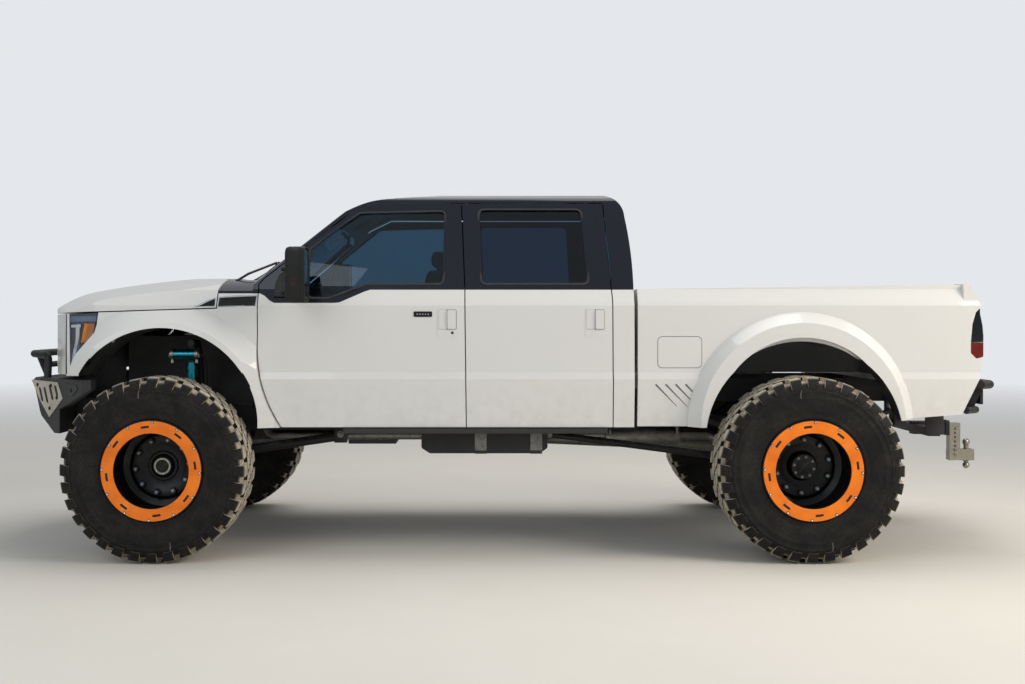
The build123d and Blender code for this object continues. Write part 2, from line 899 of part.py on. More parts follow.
with BuildPart() as bed_side:
    with BuildSketch(Plane.YZ.offset(bed_rear_x)):
        with BuildLine():
            Polyline(
                (bed_wall_y, 1750),
                (bed_wall_y, bed_floor_z - bed_floor_thickness),
                (bed_skin_y, bed_floor_z - bed_floor_thickness),
                (bed_skin_y, sill_z),
                *body_side,
                (950, 1750),
                close=True,
            )
        make_face()
    extrude(amount=bed_front_x - bed_rear_x)
    block((bed_rear_x, bed_rear_x + 100), (tailgate_half_width + tailgate_gap, 990),
          (bed_floor_z + 20, 1750))
    add(rear_flare.part)
    side_prism(bed_outline, (700, 1200), Mode.INTERSECT)
    disc_prism(rear_axle_x, rear_arch_z, rear_arch_radius, (800, 1200), Mode.SUBTRACT)
    side_prism(lamp_end, (tail_lamp_y, 1200), Mode.SUBTRACT)
save_pair(bed_side.part, "bed_side_left", "bed_side_right")

with BuildPart() as bed_box:
    floor_rear_x = tailgate_hinge[0] + 40
    block(
        (floor_rear_x, bed_front_x - 5),
        (-bed_wall_y, bed_wall_y),
        (bed_floor_z - bed_floor_thickness, bed_floor_z),
    )
    block((bed_front_x - 40, bed_front_x - 5), (-bed_wall_y, bed_wall_y), (bed_floor_z, belt_z))
    for side in (1, -1):
        outer = sorted((side * wheelhouse_y, side * bed_wall_y))
        inner = sorted((side * (wheelhouse_y + wheelhouse_wall), side * bed_wall_y))
        radius = rear_arch_radius + wheelhouse_wall
        disc_prism(rear_axle_x, rear_arch_z, radius, outer)
        disc_prism(rear_axle_x, rear_arch_z, rear_arch_radius, inner, Mode.SUBTRACT)
    block((-3000, -700), (-1000, 1000), (0, bed_floor_z - bed_floor_thickness), Mode.SUBTRACT)
    for x in (-900, -1200, -2380, -2700):
        block((x - 40, x + 40), (-700, 700), (kick_z + rail_height, bed_floor_z - 30))
save(bed_box.part, "bed_box")

with BuildPart() as tailgate:
    x, z = tailgate_hinge
    half = tailgate_thickness / 2
    top = bed_corner_z - 4
    block((x - half, x + half), (-tailgate_half_width, tailgate_half_width), (z - 10, top))
    upper_edges = tailgate.edges().filter_by(Axis.Y).sort_by(Axis.Z)[-2:]
    chamfer(upper_edges.sort_by(Axis.X)[0], 60, 24)
    chamfer(tailgate.edges().filter_by(Axis.Y).sort_by(Axis.Z)[-1], 8)
    pin_end = tailgate_half_width + tailgate_gap - seat_gap
    disc_prism(x, z, 12, (-pin_end, pin_end))
save(tailgate.part, "tailgate")

with BuildPart() as tail_lamps:
    for side in (1, -1):
        side_prism(lamp_end, sorted((side * tail_lamp_y, side * 1002)))
save(tail_lamps.part, "tail_lamps")

# Frame: two rails with crossmembers, cab mounts, shock hoops and the receiver
rail_outline = side_outline(
    (
        (rail_front_x, 800),
        (rail_front_x, 800 + rail_height),
        (2500, 800 + rail_height),
        (1700, rail_z + rail_height),
        (-750, rail_z + rail_height),
        (-1150, kick_z + rail_height),
        (rail_rear_x, kick_z + rail_height),
        (rail_rear_x, kick_z),
        (-1200, kick_z),
        (-800, rail_z),
        (1750, rail_z),
        (2550, 800),
    )
)
mount_xs = (1500, 450, -650)
# place and height of each crossmember
crossmembers = (
    (2760, 840), (250, 790), (-700, 815), (-1300, kick_z + 60), (-2400, kick_z + 60)
)
with BuildPart() as frame:
    for side in (1, -1):
        side_prism(rail_outline, sorted((side * rail_inner_y, side * rail_outer_y)))
        middle = side * (rail_inner_y + rail_outer_y) / 2
        for x in mount_xs:
            bar((x, middle, rail_z + rail_height - 5), (x, middle, underbody_z), 36)
        block((front_axle_x - 80, front_axle_x + 80), sorted((side * 400, side * 640)),
              (spring_z[1], spring_z[1] + 40))
        block((front_axle_x - 80, front_axle_x + 80), sorted((side * 400, side * 465)),
              (850, spring_z[1] + 40))
        bent_tube(
            (
                (shock_x, side * 430, 880),
                (shock_x, side * 560, hoop_z),
                (shock_x, side * (shock_y + 40), hoop_z),
            ),
            hoop_radius,
            60,
        )
        block((shock_x - 20, shock_x + 20), sorted((side * 722, side * 758)),
              (shock_top_z, hoop_z))
        block((-2880, -2760), sorted((side * 380, side * 400)), (700, kick_z + 20))
        block((-2040, -1985), sorted((side * rail_outer_y, side * 640)), (960, 990))
    for x, z in crossmembers:
        block((x - 45, x + 45), (-rail_outer_y + 10, rail_outer_y - 10), (z - 35, z + 35))
    block((-2860, -2780), (-rail_inner_y, rail_inner_y), (690, 745))
    block(receiver_x, (-44, 44), receiver_z)
    block((receiver_x[0], receiver_x[1] + 1), (-32, 32), (685, 749), Mode.SUBTRACT)
save(frame.part, "frame")

with BuildPart() as ball_mount:
    block((receiver_x[1] - 160, receiver_x[1] - 10), (-31.7, 31.7), (685.3, 748.7))
    block((-3126, receiver_x[1] - 150), (-31.7, 31.7), (685.3, 748.7))
    block((-3126, -3050), (-31.7, 31.7), (490, 748.7))
    block((rear_end_x, -3050), (-38, 38), (490, 567))
    ball_x = rear_end_x + 44
    bar((ball_x, 0, 560), (ball_x, 0, 600), 17)
    bar((ball_x, 0, 495), (ball_x, 0, 470), 14)
    with Locations((ball_x, 0, 614)):
        Sphere(25.4)
    with Locations((ball_x, 0, 453)):
        Sphere(23.8)
    for z in (530, 560, 590, 620, 650, 680, 710):
        bar((-3088, -40, z), (-3088, 40, z), 8, Mode.SUBTRACT)
save(ball_mount.part, "ball_mount")

# Bumpers and side steps
with BuildPart() as front_bumper:
    side_extrusion(
        (
            (2640, 1035),
            (2640, 1092),
            (3150, 1092),
            (3185, 1072),
            (3075, 848),
            (2950, 744),
            (rail_front_x, 744),
            (rail_front_x, 900),
        ),
        (-1000, 1000),
    )
    with BuildSketch(Plane.XY):
        with BuildLine():
            Polyline((rail_front_x, 0), (rail_front_x, 560), (2640, 900), (2640, 1000))
            Polyline((2640, 1000), (2700, 1000), (3090, 620), (3185, 470), (3185, 0))
            mirror(about=Plane.XZ)
        make_face()
    extrude(amount=1900, mode=Mode.INTERSECT)
save(front_bumper.part, "front_bumper")

with BuildPart() as bull_bar:
    hoop_x = front_end_x - 24
    bent_tube(
        (
            (3060, -560, 1085),
            (3060, -540, 1235),
            (hoop_x, -430, 1244),
            (hoop_x, 430, 1244),
            (3060, 540, 1235),
            (3060, 560, 1085),
        ),
        24,
        40,
    )
    for y in (-330, 330):
        bar((3130, y, 1080), (hoop_x, y, 1244), 22)
    bar((3164, -345, 1165), (3164, 345, 1165), 20)
    add(front_bumper.part, mode=Mode.SUBTRACT)
save(bull_bar.part, "bull_bar")

with BuildPart() as rear_bumper:
    bent_tube(
        (
            (-2914, -962, 1062),
            (-2999, -900, 1062),
            (-2999, 900, 1062),
            (-2914, 962, 1062),
        ),
        27,
        60,
    )
    bent_tube(
        (
            (-2830, -940, 900),
            (-2925, -860, 900),
            (-2925, 860, 900),
            (-2830, 940, 900),
        ),
        22,
        50,
    )
    for y in (-800, -427, 427, 800):
        side_extrusion(
            (
                (rail_rear_x, 1075),
                (-2996, 1075),
                (-2985, 1035),
                (-2935, 925),
                (-2930, 878),
                (rail_rear_x, 878),
            ),
            (y - 8, y + 8),
        )
    block((-2990, -2972), (-800, 800), (930, 1060))
save(rear_bumper.part, "rear_bumper")

with BuildPart() as side_steps:
    for side in (1, -1):
        block((-578, 1070), sorted((side * 900, side * 985)), (760, 790))
        for x in (860, -470):
            block((x - 25, x + 25), sorted((side * rail_outer_y, side * 905)), (762, 786))
save(side_steps.part, "side_steps")

# Power train
with BuildPart() as engine:
    block((1760, 2600), (-300, 300), (830, 1360))
    block((1120, 1765), (-120, 190), (650, 880))
    block((800, 1125), (-260, 190), (620, 850))
    block((1500, 1560), (-rail_inner_y, rail_inner_y), (750, 790))
save(engine.part, "engine")

with BuildPart() as fuel_tank:
    side_extrusion(
        ((-212, 885), (-212, 650), (-160, 616), (540, 616), (594, 650), (594, 885)),
        (rail_outer_y, 790),
        20,
    )
save(fuel_tank.part, "fuel_tank")

with BuildPart() as exhaust:
    bar((-1121, 290, 690), (-625, 290, 690), 72)
    bent_tube(((1700, 270, 825), (1640, 290, 690), (-640, 290, 690)), 32, 60)
    bent_tube(((-1110, 290, 690), (-1330, 290, 690), (-1420, 330, 650)), 32, 60)
    for x in (-1100, -650):
        block((x - 8, x + 8), (345, 375), (700, 760))
        block((x - 8, x + 8), (345, rail_inner_y), (744, 760))
save(exhaust.part, "exhaust")

# Axles, suspension and steering
with BuildPart() as front_axle:
    bar((front_axle_x, -835, axle_z), (front_axle_x, 835, axle_z), axle_tube_radius)
    turned(
        ((0, -140), (90, -140), (diff_radius, -70), (diff_radius, 60), (80, 140), (0, 140)),
        (front_axle_x, front_diff_y, axle_z),
        (0, 1, 0),
    )
    bar(
        (front_axle_x - 190, front_diff_y, axle_z + 20),
        (front_axle_x, front_diff_y, axle_z),
        70,
    )
    for side in (1, -1):
        plate_y = sorted((side * 815, side * 835))
        block((front_axle_x - 42, front_axle_x + 42), plate_y,
              (axle_z - yoke_height, axle_z + yoke_height))
        for sign in (1, -1):
            z = sorted((axle_z + sign * yoke_height, axle_z + sign * (yoke_height - yoke_plate)))
            block((front_axle_x - 42, front_axle_x + 42), sorted((side * 815, side * 915)), z)
        seat = sorted((side * 490, side * 630))
        block((front_axle_x - 70, front_axle_x + 70), seat, (axle_z, spring_z[0]))
        block((shock_x - 30, front_axle_x - 20), sorted((side * 715, side * 765)),
              (axle_z - 25, axle_z + 38))
save(front_axle.part, "front_axle")

with BuildPart() as rear_axle:
    disc_prism(rear_axle_x, axle_z, 58, (-hub_inner_y, hub_inner_y))
    disc_prism(rear_axle_x, axle_z, spindle_radius, (-disc_face_y + 11, disc_face_y - 11))
    turned(
        ((0, -170), (100, -170), (rear_diff_radius, -80), (rear_diff_radius, 80), (100, 170),
         (0, 170)),
        (rear_axle_x, 0, axle_z),
        (0, 1, 0),
    )
    bar((rear_axle_x + 230, 0, axle_z + 20), (rear_axle_x, 0, axle_z), 80)
    for side in (1, -1):
        block((rear_axle_x - 60, rear_axle_x + 60),
              sorted((side * (leaf_y - 40), side * (leaf_y + 40))), (axle_z, 690))
        block((rear_axle_x - 100, rear_axle_x - 40), sorted((side * 575, side * 635)),
              (axle_z - 25, axle_z + 60))
save(rear_axle.part, "rear_axle")

with BuildPart() as knuckle:
    height = yoke_height - yoke_plate - seat_gap
    bar((front_axle_x, kingpin_y, axle_z - height), (front_axle_x, kingpin_y, axle_z + height),
        kingpin_radius)
    bar((front_axle_x, kingpin_y, axle_z), (front_axle_x, hub_inner_y - 2, axle_z), 62)
    block((front_axle_x - 20, front_axle_x + steering_arm), (kingpin_y - 18, kingpin_y + 18),
          (axle_z - 20, axle_z + 10))
    arm_x = front_axle_x + steering_arm
    bar((arm_x, kingpin_y, axle_z - 20), (arm_x, kingpin_y, axle_z + 10), arm_boss_radius)
    bar((arm_x, kingpin_y, axle_z), (arm_x, kingpin_y, axle_z + 46), ball_pin_radius)
    bar((front_axle_x, kingpin_y, axle_z), (front_axle_x, disc_face_y + 20, axle_z), spindle_radius)
save_pair(knuckle.part, "knuckle_left", "knuckle_right")

with BuildPart() as tie_rod:
    bar((arm_x, -kingpin_y, tie_rod_z), (arm_x, kingpin_y, tie_rod_z), tie_rod_radius)
    for side in (1, -1):
        y = side * kingpin_y
        bar((arm_x, y, tie_rod_z - 16), (arm_x, y, tie_rod_z + 16), tie_rod_eye_radius)
        bar((arm_x, y, axle_z), (arm_x, y, axle_z + 60), ball_pin_radius + ball_pin_fit,
            Mode.SUBTRACT)
save(tie_rod.part, "tie_rod")

with BuildPart() as front_springs:
    for side in (1, -1):
        pitch = (spring_z[1] - spring_z[0]) / 8
        rows = [(spring_radius - 14, spring_z[0])]
        for turn in range(8):
            low = spring_z[0] + turn * pitch
            rows += [(spring_radius, low + pitch * 0.25), (spring_radius - 14, low + pitch)]
        rows += [(spring_radius - 26, spring_z[1]), (spring_radius - 26, spring_z[0])]
        turned([(r, z) for r, z in rows], (front_axle_x, side * spring_y, 0), (0, 0, 1))
save(front_springs.part, "front_springs")

with BuildPart() as drive_shafts:
    bar((1100, front_diff_y, 690), (front_axle_x, front_diff_y, axle_z + 20), 38)
    bar((780, 0, 700), (rear_axle_x, 0, axle_z + 20), 50)
    add(engine.part, mode=Mode.SUBTRACT)
    add(front_axle.part, mode=Mode.SUBTRACT)
    add(rear_axle.part, mode=Mode.SUBTRACT)
save(drive_shafts.part, "drive_shafts")

with BuildPart() as shock_absorbers:
    for side in (1, -1):
        bar((shock_x, side * shock_y, axle_z + 38), (shock_x, side * shock_y, 760), 15)
        bar((shock_x, side * shock_y, 750), (shock_x, side * shock_y, shock_top_z), shock_radius)
        y = side * (shock_y + 18 + reservoir_radius)
        bar((reservoir_x[0], y, reservoir_z), (reservoir_x[1], y, reservoir_z), reservoir_radius)
        bar((rear_axle_x - 75, side * 605, 590), (-2012, side * 605, 975), 30)
    add(frame.part, mode=Mode.SUBTRACT)
    add(rear_axle.part, mode=Mode.SUBTRACT)
save(shock_absorbers.part, "shock_absorbers")

with BuildPart() as suspension_links:
    for side in (1, -1):
        bar((front_axle_x - 40, side * 590, axle_z), (1150, side * 500, 700), 30)
        block((1100, 1180), sorted((side * rail_outer_y, side * 540)), (660, 770))
        bar((rear_axle_x + 20, side * 590, axle_z - 40), (-228, side * 590, 722), 22)
        block((-240, -215), sorted((side * rail_outer_y, side * 620)), (690, 800))
    add(front_axle.part, mode=Mode.SUBTRACT)
    add(rear_axle.part, mode=Mode.SUBTRACT)
save(suspension_links.part, "suspension_links")

with BuildPart() as leaf_springs:
    for side in (1, -1):
        with BuildSketch(Plane.XZ, mode=Mode.PRIVATE) as leaf:
            with BuildLine():
                ThreePointArc((-1130, 850), (rear_axle_x, 690), (-2480, 860))
                Line((-2480, 860), (-2480, 882))
                ThreePointArc((-2480, 882), (rear_axle_x, 740), (-1130, 872))
                Line((-1130, 872), (-1130, 850))
            make_face()
        y = sorted((side * (leaf_y - leaf_width / 2), side * (leaf_y + leaf_width / 2)))
        side_prism(leaf.sketch, y)
        hanger = sorted((side * rail_outer_y, side * (rail_outer_y + 60)))
        block((-1160, -1110), hanger, (840, 960))
        block((-2500, -2460), hanger, (850, 960))
    add(rear_axle.part, mode=Mode.SUBTRACT)
save(leaf_springs.part, "leaf_springs")

# Wheels: a tyre on a rim with its disc, hub, nuts and outer clamping ring
tyre_half = tyre_width / 2
bead_side = tyre_half - 30


def polygon_ring(rows, mode=Mode.ADD):
    """A solid in the current part with one flat side per lug, from (radius, offset) rows."""
    rings = []
    for radius, y in rows:
        with BuildSketch(Plane.XZ.offset(-y), mode=Mode.PRIVATE) as ring:
            RegularPolygon(radius, lug_count, major_radius=False, rotation=180 / lug_count)
        rings.append(ring.sketch)
    loft(rings, ruled=True, mode=mode)


with BuildPart() as tyre:
    shoulder_rows = ((440, tyre_half), (530, tyre_half - 14), (tyre_radius, tread_half_width))
    polygon_ring([(radius, -y) for radius, y in shoulder_rows] + list(reversed(shoulder_rows)))
    polygon_ring(
        (
            (bead_radius + 84, -tyre_half - 1),
            (bead_radius, -tyre_half + 60),
            (bead_radius, bead_side),
            (bead_radius + 84, tyre_half + 1),
        ),
        Mode.SUBTRACT,
    )
    with BuildSketch(Plane.YZ.offset(-lug_gap_width / 2), mode=Mode.PRIVATE) as groove:
        with BuildLine():
            Polyline(*((y, radius) for radius, y in lug_gap), close=True)
        make_face()
    groove_cutter = extrude(groove.sketch, amount=lug_gap_width, mode=Mode.PRIVATE)
    grooves = [
        groove_cutter.rotate(Axis.Y, 360 / lug_count * (index + 0.5))
        for index in range(lug_count)
    ]
    add(grooves, mode=Mode.SUBTRACT)

rim_barrel = (
    (bead_radius - seat_gap, rim_inner_y - wheel_y),
    (bead_radius - seat_gap, tyre_width / 2 - 29.5),
    (ring_outer_radius, ring_face_y - ring_thickness - wheel_y),
    (ring_outer_radius, ring_face_y - wheel_y),
    (ring_inner_radius, ring_face_y - wheel_y),
    (ring_inner_radius, ring_face_y - ring_thickness - wheel_y),
    (bead_radius - rim_wall, ring_face_y - 30 - wheel_y),
    (bead_radius - rim_wall, rim_inner_y - wheel_y),
)


def wheel_solid(cap_radius, cap_y, bore):
    """One wheel about the origin: barrel, disc, hub and nuts, facing +Y."""
    disc_y = disc_face_y - disc_thickness - wheel_y
    with BuildPart() as wheel:
        turned(rim_barrel, (0, 0, 0), (0, 1, 0))
        turned(
            (
                (0, disc_y - 30),
                (0, cap_y - wheel_y),
                (cap_radius, cap_y - wheel_y),
                (cap_radius, disc_y + disc_thickness),
                (bead_radius - rim_wall, disc_y + disc_thickness),
                (bead_radius - rim_wall, disc_y),
                (hub_radius, disc_y),
                (hub_radius, disc_y - 30),
            ),
            (0, 0, 0),
            (0, 1, 0),
        )
        disc_prism(0, 0, spindle_radius + spindle_fit, (-200, bore - wheel_y), Mode.SUBTRACT)
        with BuildSketch(Plane.XZ.offset(-(disc_y + disc_thickness)), mode=Mode.PRIVATE) as nuts:
            with PolarLocations(lug_nut_circle_radius, lug_nut_count):
                RegularPolygon(lug_nut_radius, 6)
        extrude(nuts.sketch, amount=-lug_nut_length)
    return wheel.part


front_wheel = wheel_solid(hub_cap_radius, hub_cap_y, disc_face_y + 21)
rear_wheel = wheel_solid(78, 1075, 992)
for end, x, wheel in (("front", front_axle_x, front_wheel), ("rear", rear_axle_x, rear_wheel)):
    place = Location((x, wheel_y, axle_z))
    save_pair(wheel.moved(place), f"wheel_{end}_left", f"wheel_{end}_right")
    save_pair(tyre.part.moved(place), f"tyre_{end}_left", f"tyre_{end}_right")
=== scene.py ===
"""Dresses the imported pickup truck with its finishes, fine pieces, studio and camera."""
import json
import logging
import math
from dataclasses import dataclass
from enum import Enum
from typing import Iterable, Optional, Sequence

import bmesh
import bpy
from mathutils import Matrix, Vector

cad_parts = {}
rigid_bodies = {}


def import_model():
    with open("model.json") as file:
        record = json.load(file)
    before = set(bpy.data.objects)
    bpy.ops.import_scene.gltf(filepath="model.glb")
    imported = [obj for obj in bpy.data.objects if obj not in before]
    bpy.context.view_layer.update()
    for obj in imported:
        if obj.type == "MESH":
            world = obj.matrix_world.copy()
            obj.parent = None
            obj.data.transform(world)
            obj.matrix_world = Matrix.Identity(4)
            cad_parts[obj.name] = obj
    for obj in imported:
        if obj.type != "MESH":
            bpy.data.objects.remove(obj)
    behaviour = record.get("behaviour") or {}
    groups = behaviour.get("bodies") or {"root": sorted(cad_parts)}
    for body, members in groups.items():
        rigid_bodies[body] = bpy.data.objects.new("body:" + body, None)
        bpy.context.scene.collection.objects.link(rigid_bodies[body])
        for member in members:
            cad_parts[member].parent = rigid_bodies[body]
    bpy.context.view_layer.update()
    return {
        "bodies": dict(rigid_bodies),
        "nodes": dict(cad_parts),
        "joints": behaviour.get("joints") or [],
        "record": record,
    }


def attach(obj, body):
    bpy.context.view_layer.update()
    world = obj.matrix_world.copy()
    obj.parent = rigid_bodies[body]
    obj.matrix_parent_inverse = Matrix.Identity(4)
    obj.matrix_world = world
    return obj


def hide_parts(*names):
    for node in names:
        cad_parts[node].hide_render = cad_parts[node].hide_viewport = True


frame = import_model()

log = logging.getLogger("truck")

Point = tuple[float, float, float]
Colour = tuple[float, float, float]


class Side(Enum):
    """The two sides of the vehicle, with the sign of their Y."""

    LEFT = 1
    RIGHT = -1

    @property
    def word(self) -> str:
        """The side's name as the nodes spell it."""
        return self.name.lower()


class Shades:
    """Builds one node material: a thin, typed wrapper round a node tree."""

    def __init__(self, name: str) -> None:
        """Starts an empty material.

        Args:
            name: The material's name.
        """
        self.material = bpy.data.materials.new(name)
        self.material.use_nodes = True
        self.tree = self.material.node_tree
        self.tree.nodes.clear()
        self.output = self.tree.nodes.new("ShaderNodeOutputMaterial")
        self.shader = self.tree.nodes.new("ShaderNodeBsdfPrincipled")
        self.link(self.shader.outputs[0], self.output.inputs["Surface"])
        self.place = self.tree.nodes.new("ShaderNodeTexCoord").outputs["Object"]

    def link(self, source, target) -> None:
        """Joins an output socket to an input socket.

        Args:
            source: The output socket.
            target: The input socket.
        """
        self.tree.links.new(source, target)

    def set(self, **values: object) -> "Shades":
        """Sets constants on the shader's own sockets.

        Args:
            **values: Socket names with underscores for spaces, and their values.

        Returns:
            This builder, so calls can be chained.
        """
        for key, value in values.items():
            self.shader.inputs[key.replace("_", " ")].default_value = value
        return self

    def feed(self, socket: str, source) -> None:
        """Joins an output socket to one of the shader's inputs.

        Args:
            socket: The shader input's name.
            source: The output socket.
        """
        self.link(source, self.shader.inputs[socket])

    def math(self, kind: str, first, second=0.0, clamp: bool = False):
        """Adds a math node.

        Args:
            kind: Blender's name of the operation.
            first: A socket or a number.
            second: A socket or a number.
            clamp: Whether the result is kept between 0 and 1.

        Returns:
            The result socket.
        """
        node = self.tree.nodes.new("ShaderNodeMath")
        node.operation = kind
        node.use_clamp = clamp
        for socket, value in zip(node.inputs, (first, second)):
            if isinstance(value, (int, float)):
                socket.default_value = value
            else:
                self.link(value, socket)
        return node.outputs[0]

    def noise(self, scale: float, detail: float = 4.0, roughness: float = 0.55, source=None):
        """Adds a noise texture in the frame's own space.

        Args:
            scale: Features per metre.
            detail: Octaves of detail.
            roughness: How strong the finer octaves are.
            source: The coordinate socket, or None for the object's own place.

        Returns:
            The noise's value socket.
        """
        node = self.tree.nodes.new("ShaderNodeTexNoise")
        node.inputs["Scale"].default_value = scale
        node.inputs["Detail"].default_value = detail
        node.inputs["Roughness"].default_value = roughness
        self.link(source or self.place, node.inputs["Vector"])
        return node.outputs["Fac"]

    def ramp(self, source, low: float, high: float, start: float = 0.0, end: float = 1.0):
        """Maps a value's range from low..high to start..end, clamped.

        Args:
            source: The value socket.
            low: The value that gives start.
            high: The value that gives end.
            start: The result at low.
            end: The result at high.

        Returns:
            The result socket.
        """
        node = self.tree.nodes.new("ShaderNodeMapRange")
        for socket, value in zip(node.inputs[1:5], (low, high, start, end)):
            socket.default_value = value
        self.link(source, node.inputs[0])
        return node.outputs[0]

    def split(self):
        """Splits the object's place into X, Y and Z sockets.

        Returns:
            The three sockets.
        """
        node = self.tree.nodes.new("ShaderNodeSeparateXYZ")
        self.link(self.place, node.inputs[0])
        return node.outputs

    def mix(self, factor, first, second):
        """Mixes two colours.

        Args:
            factor: A socket or a number from 0 to 1.
            first: The colour at 0, as a socket or a triple.
            second: The colour at 1, as a socket or a triple.

        Returns:
            The colour socket.
        """
        node = self.tree.nodes.new("ShaderNodeMix")
        node.data_type = "RGBA"
        if isinstance(factor, (int, float)):
            node.inputs["Factor"].default_value = factor
        else:
            self.link(factor, node.inputs["Factor"])
        for socket, value in zip((node.inputs[6], node.inputs[7]), (first, second)):
            if isinstance(value, tuple):
                socket.default_value = (*value, 1.0)
            else:
                self.link(value, socket)
        return node.outputs[2]

    def bump(self, height, strength: float, distance: float) -> None:
        """Feeds a bump to the shader's normal.

        Args:
            height: The height socket.
            strength: The bump's strength.
            distance: The height of a full step, in metres.
        """
        node = self.tree.nodes.new("ShaderNodeBump")
        node.inputs["Strength"].default_value = strength
        node.inputs["Distance"].default_value = distance
        self.link(height, node.inputs["Height"])
        self.feed("Normal", node.outputs[0])

    def edges(self, low: float, high: float):
        """How worn an edge is, from the surface's pointiness.

        Args:
            low: The pointiness at which wear starts.
            high: The pointiness at which it is full.

        Returns:
            A socket from 0 to 1.
        """
        geometry = self.tree.nodes.new("ShaderNodeNewGeometry")
        return self.ramp(geometry.outputs["Pointiness"], low, high)


@dataclass(frozen=True)
class Paint:
    """A body paint with a clear coat, its orange peel, fine flakes and road dust."""

    name: str
    colour: Colour
    upper: Optional[Colour] = None
    roughness: float = 0.32
    coat: float = 0.7
    dust: float = 0.16
    inside: Optional[Point] = None
    bed_floor_z: float = 1.16
    hidden: Colour = (0.007, 0.007, 0.008)
    arches: tuple[tuple[float, float, float, float], ...] = (
        (2.186, 0.827, 0.597, 1.085), (-1.781, 0.721, 0.614, 1.085),
        (2.186, 0.827, 0.640, 0.99), (-1.781, 0.721, 0.660, 0.93),
    )
    split_line: tuple[tuple[float, float], ...] = (
        (-4.0, 1.657), (0.915, 1.657), (1.101, 1.574), (1.513, 1.574), (1.58, 1.634), (4.0, 1.634),
    )

    def make(self) -> bpy.types.Material:
        """Makes the material.

        Returns:
            The material.
        """
        shades = Shades(self.name)
        x, _, z = shades.split()
        flake = shades.noise(900.0, 1.0)
        base = shades.mix(shades.ramp(flake, 0.35, 0.65, 0.0, 0.10), self.colour,
                          tuple(min(1.0, value * 1.12 + 0.01) for value in self.colour))
        if self.upper:
            curve = shades.tree.nodes.new("ShaderNodeFloatCurve")
            self.shape(curve.mapping)
            shades.link(shades.ramp(x, -4.0, 4.0), curve.inputs["Value"])
            height = shades.ramp(curve.outputs[0], 0.0, 1.0, 1.5, 1.7)
            above = shades.ramp(shades.math("SUBTRACT", z, height), -0.0008, 0.0008)
            base = shades.mix(above, base, self.upper)
        base = shades.mix(self.unseen(shades), base, self.hidden)
        low = shades.ramp(z, 0.80, 1.15, 1.0, 0.0)
        grime = shades.math("MULTIPLY", low, shades.ramp(shades.noise(14.0, 6.0), 0.42, 0.7))
        grime = shades.math("MULTIPLY", grime, self.dust)
        shades.feed("Base Color", shades.mix(grime, base, (0.32, 0.28, 0.23)))
        rough = shades.math("ADD", self.roughness, shades.math("MULTIPLY", grime, 0.5))
        shades.feed("Roughness", rough)
        shades.set(Coat_Weight=self.coat, Coat_Roughness=0.03, IOR=1.5,
                   Specular_IOR_Level=0.2)
        shades.bump(shades.noise(420.0, 2.0), 0.05, 0.0004)
        return shades.material

    def unseen(self, shades: Shades):
        """Where the sheet metal turns away from view: inside, underneath, in the arches.

        Args:
            shades: The material in the making.

        Returns:
            A socket that is 1 where the dark inner colour shows.
        """
        x, y, z = shades.split()
        normal = shades.tree.nodes.new("ShaderNodeSeparateXYZ")
        shades.link(shades.tree.nodes.new("ShaderNodeTexCoord").outputs["Normal"],
                    normal.inputs[0])
        down = shades.math("LESS_THAN", normal.outputs[2], -0.6)
        result = shades.math("MULTIPLY", down, shades.math("LESS_THAN", z, 1.14))
        across_y = shades.math("ABSOLUTE", y)
        narrow = shades.math("LESS_THAN", across_y, 1.05)
        inward = shades.math("LESS_THAN", shades.math("MULTIPLY", y, normal.outputs[1]), -0.2)
        inward = shades.math("MULTIPLY", inward, shades.math("GREATER_THAN", z, self.bed_floor_z))
        for centre_x, centre_z, radius, half_width in self.arches:
            along = shades.math("SUBTRACT", x, centre_x)
            up = shades.math("SUBTRACT", z, centre_z)
            reach = shades.math("ADD", shades.math("MULTIPLY", along, along),
                                shades.math("MULTIPLY", up, up))
            near = shades.math("LESS_THAN", reach, radius ** 2)
            within = shades.math("LESS_THAN", across_y, half_width)
            outward = shades.math("ADD", shades.math("MULTIPLY", along, normal.outputs[0]),
                                  shades.math("MULTIPLY", up, normal.outputs[2]))
            open_side = shades.math("MAXIMUM", inward, shades.math("GREATER_THAN", outward, 0.2))
            near = shades.math("MULTIPLY", near, shades.math("SUBTRACT", 1.0, open_side))
            result = shades.math("MAXIMUM", result, shades.math("MULTIPLY", near, within))
        if self.inside:
            total = 0.0
            for place, middle, way in zip((x, y, z), self.inside, normal.outputs):
                part = shades.math("MULTIPLY", shades.math("SUBTRACT", place, middle), way)
                total = shades.math("ADD", part, total)
            facing = shades.math("LESS_THAN", total, -0.02)
            result = shades.math("MAXIMUM", result, shades.math("MULTIPLY", facing, narrow))
        return result

    def shape(self, mapping: bpy.types.CurveMapping) -> None:
        """Gives a curve the line where the two colours meet.

        Args:
            mapping: The curve's mapping, over X from -4 m to 4 m and Z from 1.5 m to 1.7 m.
        """
        points = mapping.curves[0].points
        for index, (x, z) in enumerate(self.split_line):
            place = ((x + 4.0) / 8.0, (z - 1.5) / 0.2)
            if index < 2:
                points[index].location = place
            else:
                points.new(*place)
        for point in points:
            point.handle_type = "VECTOR"
        mapping.update()


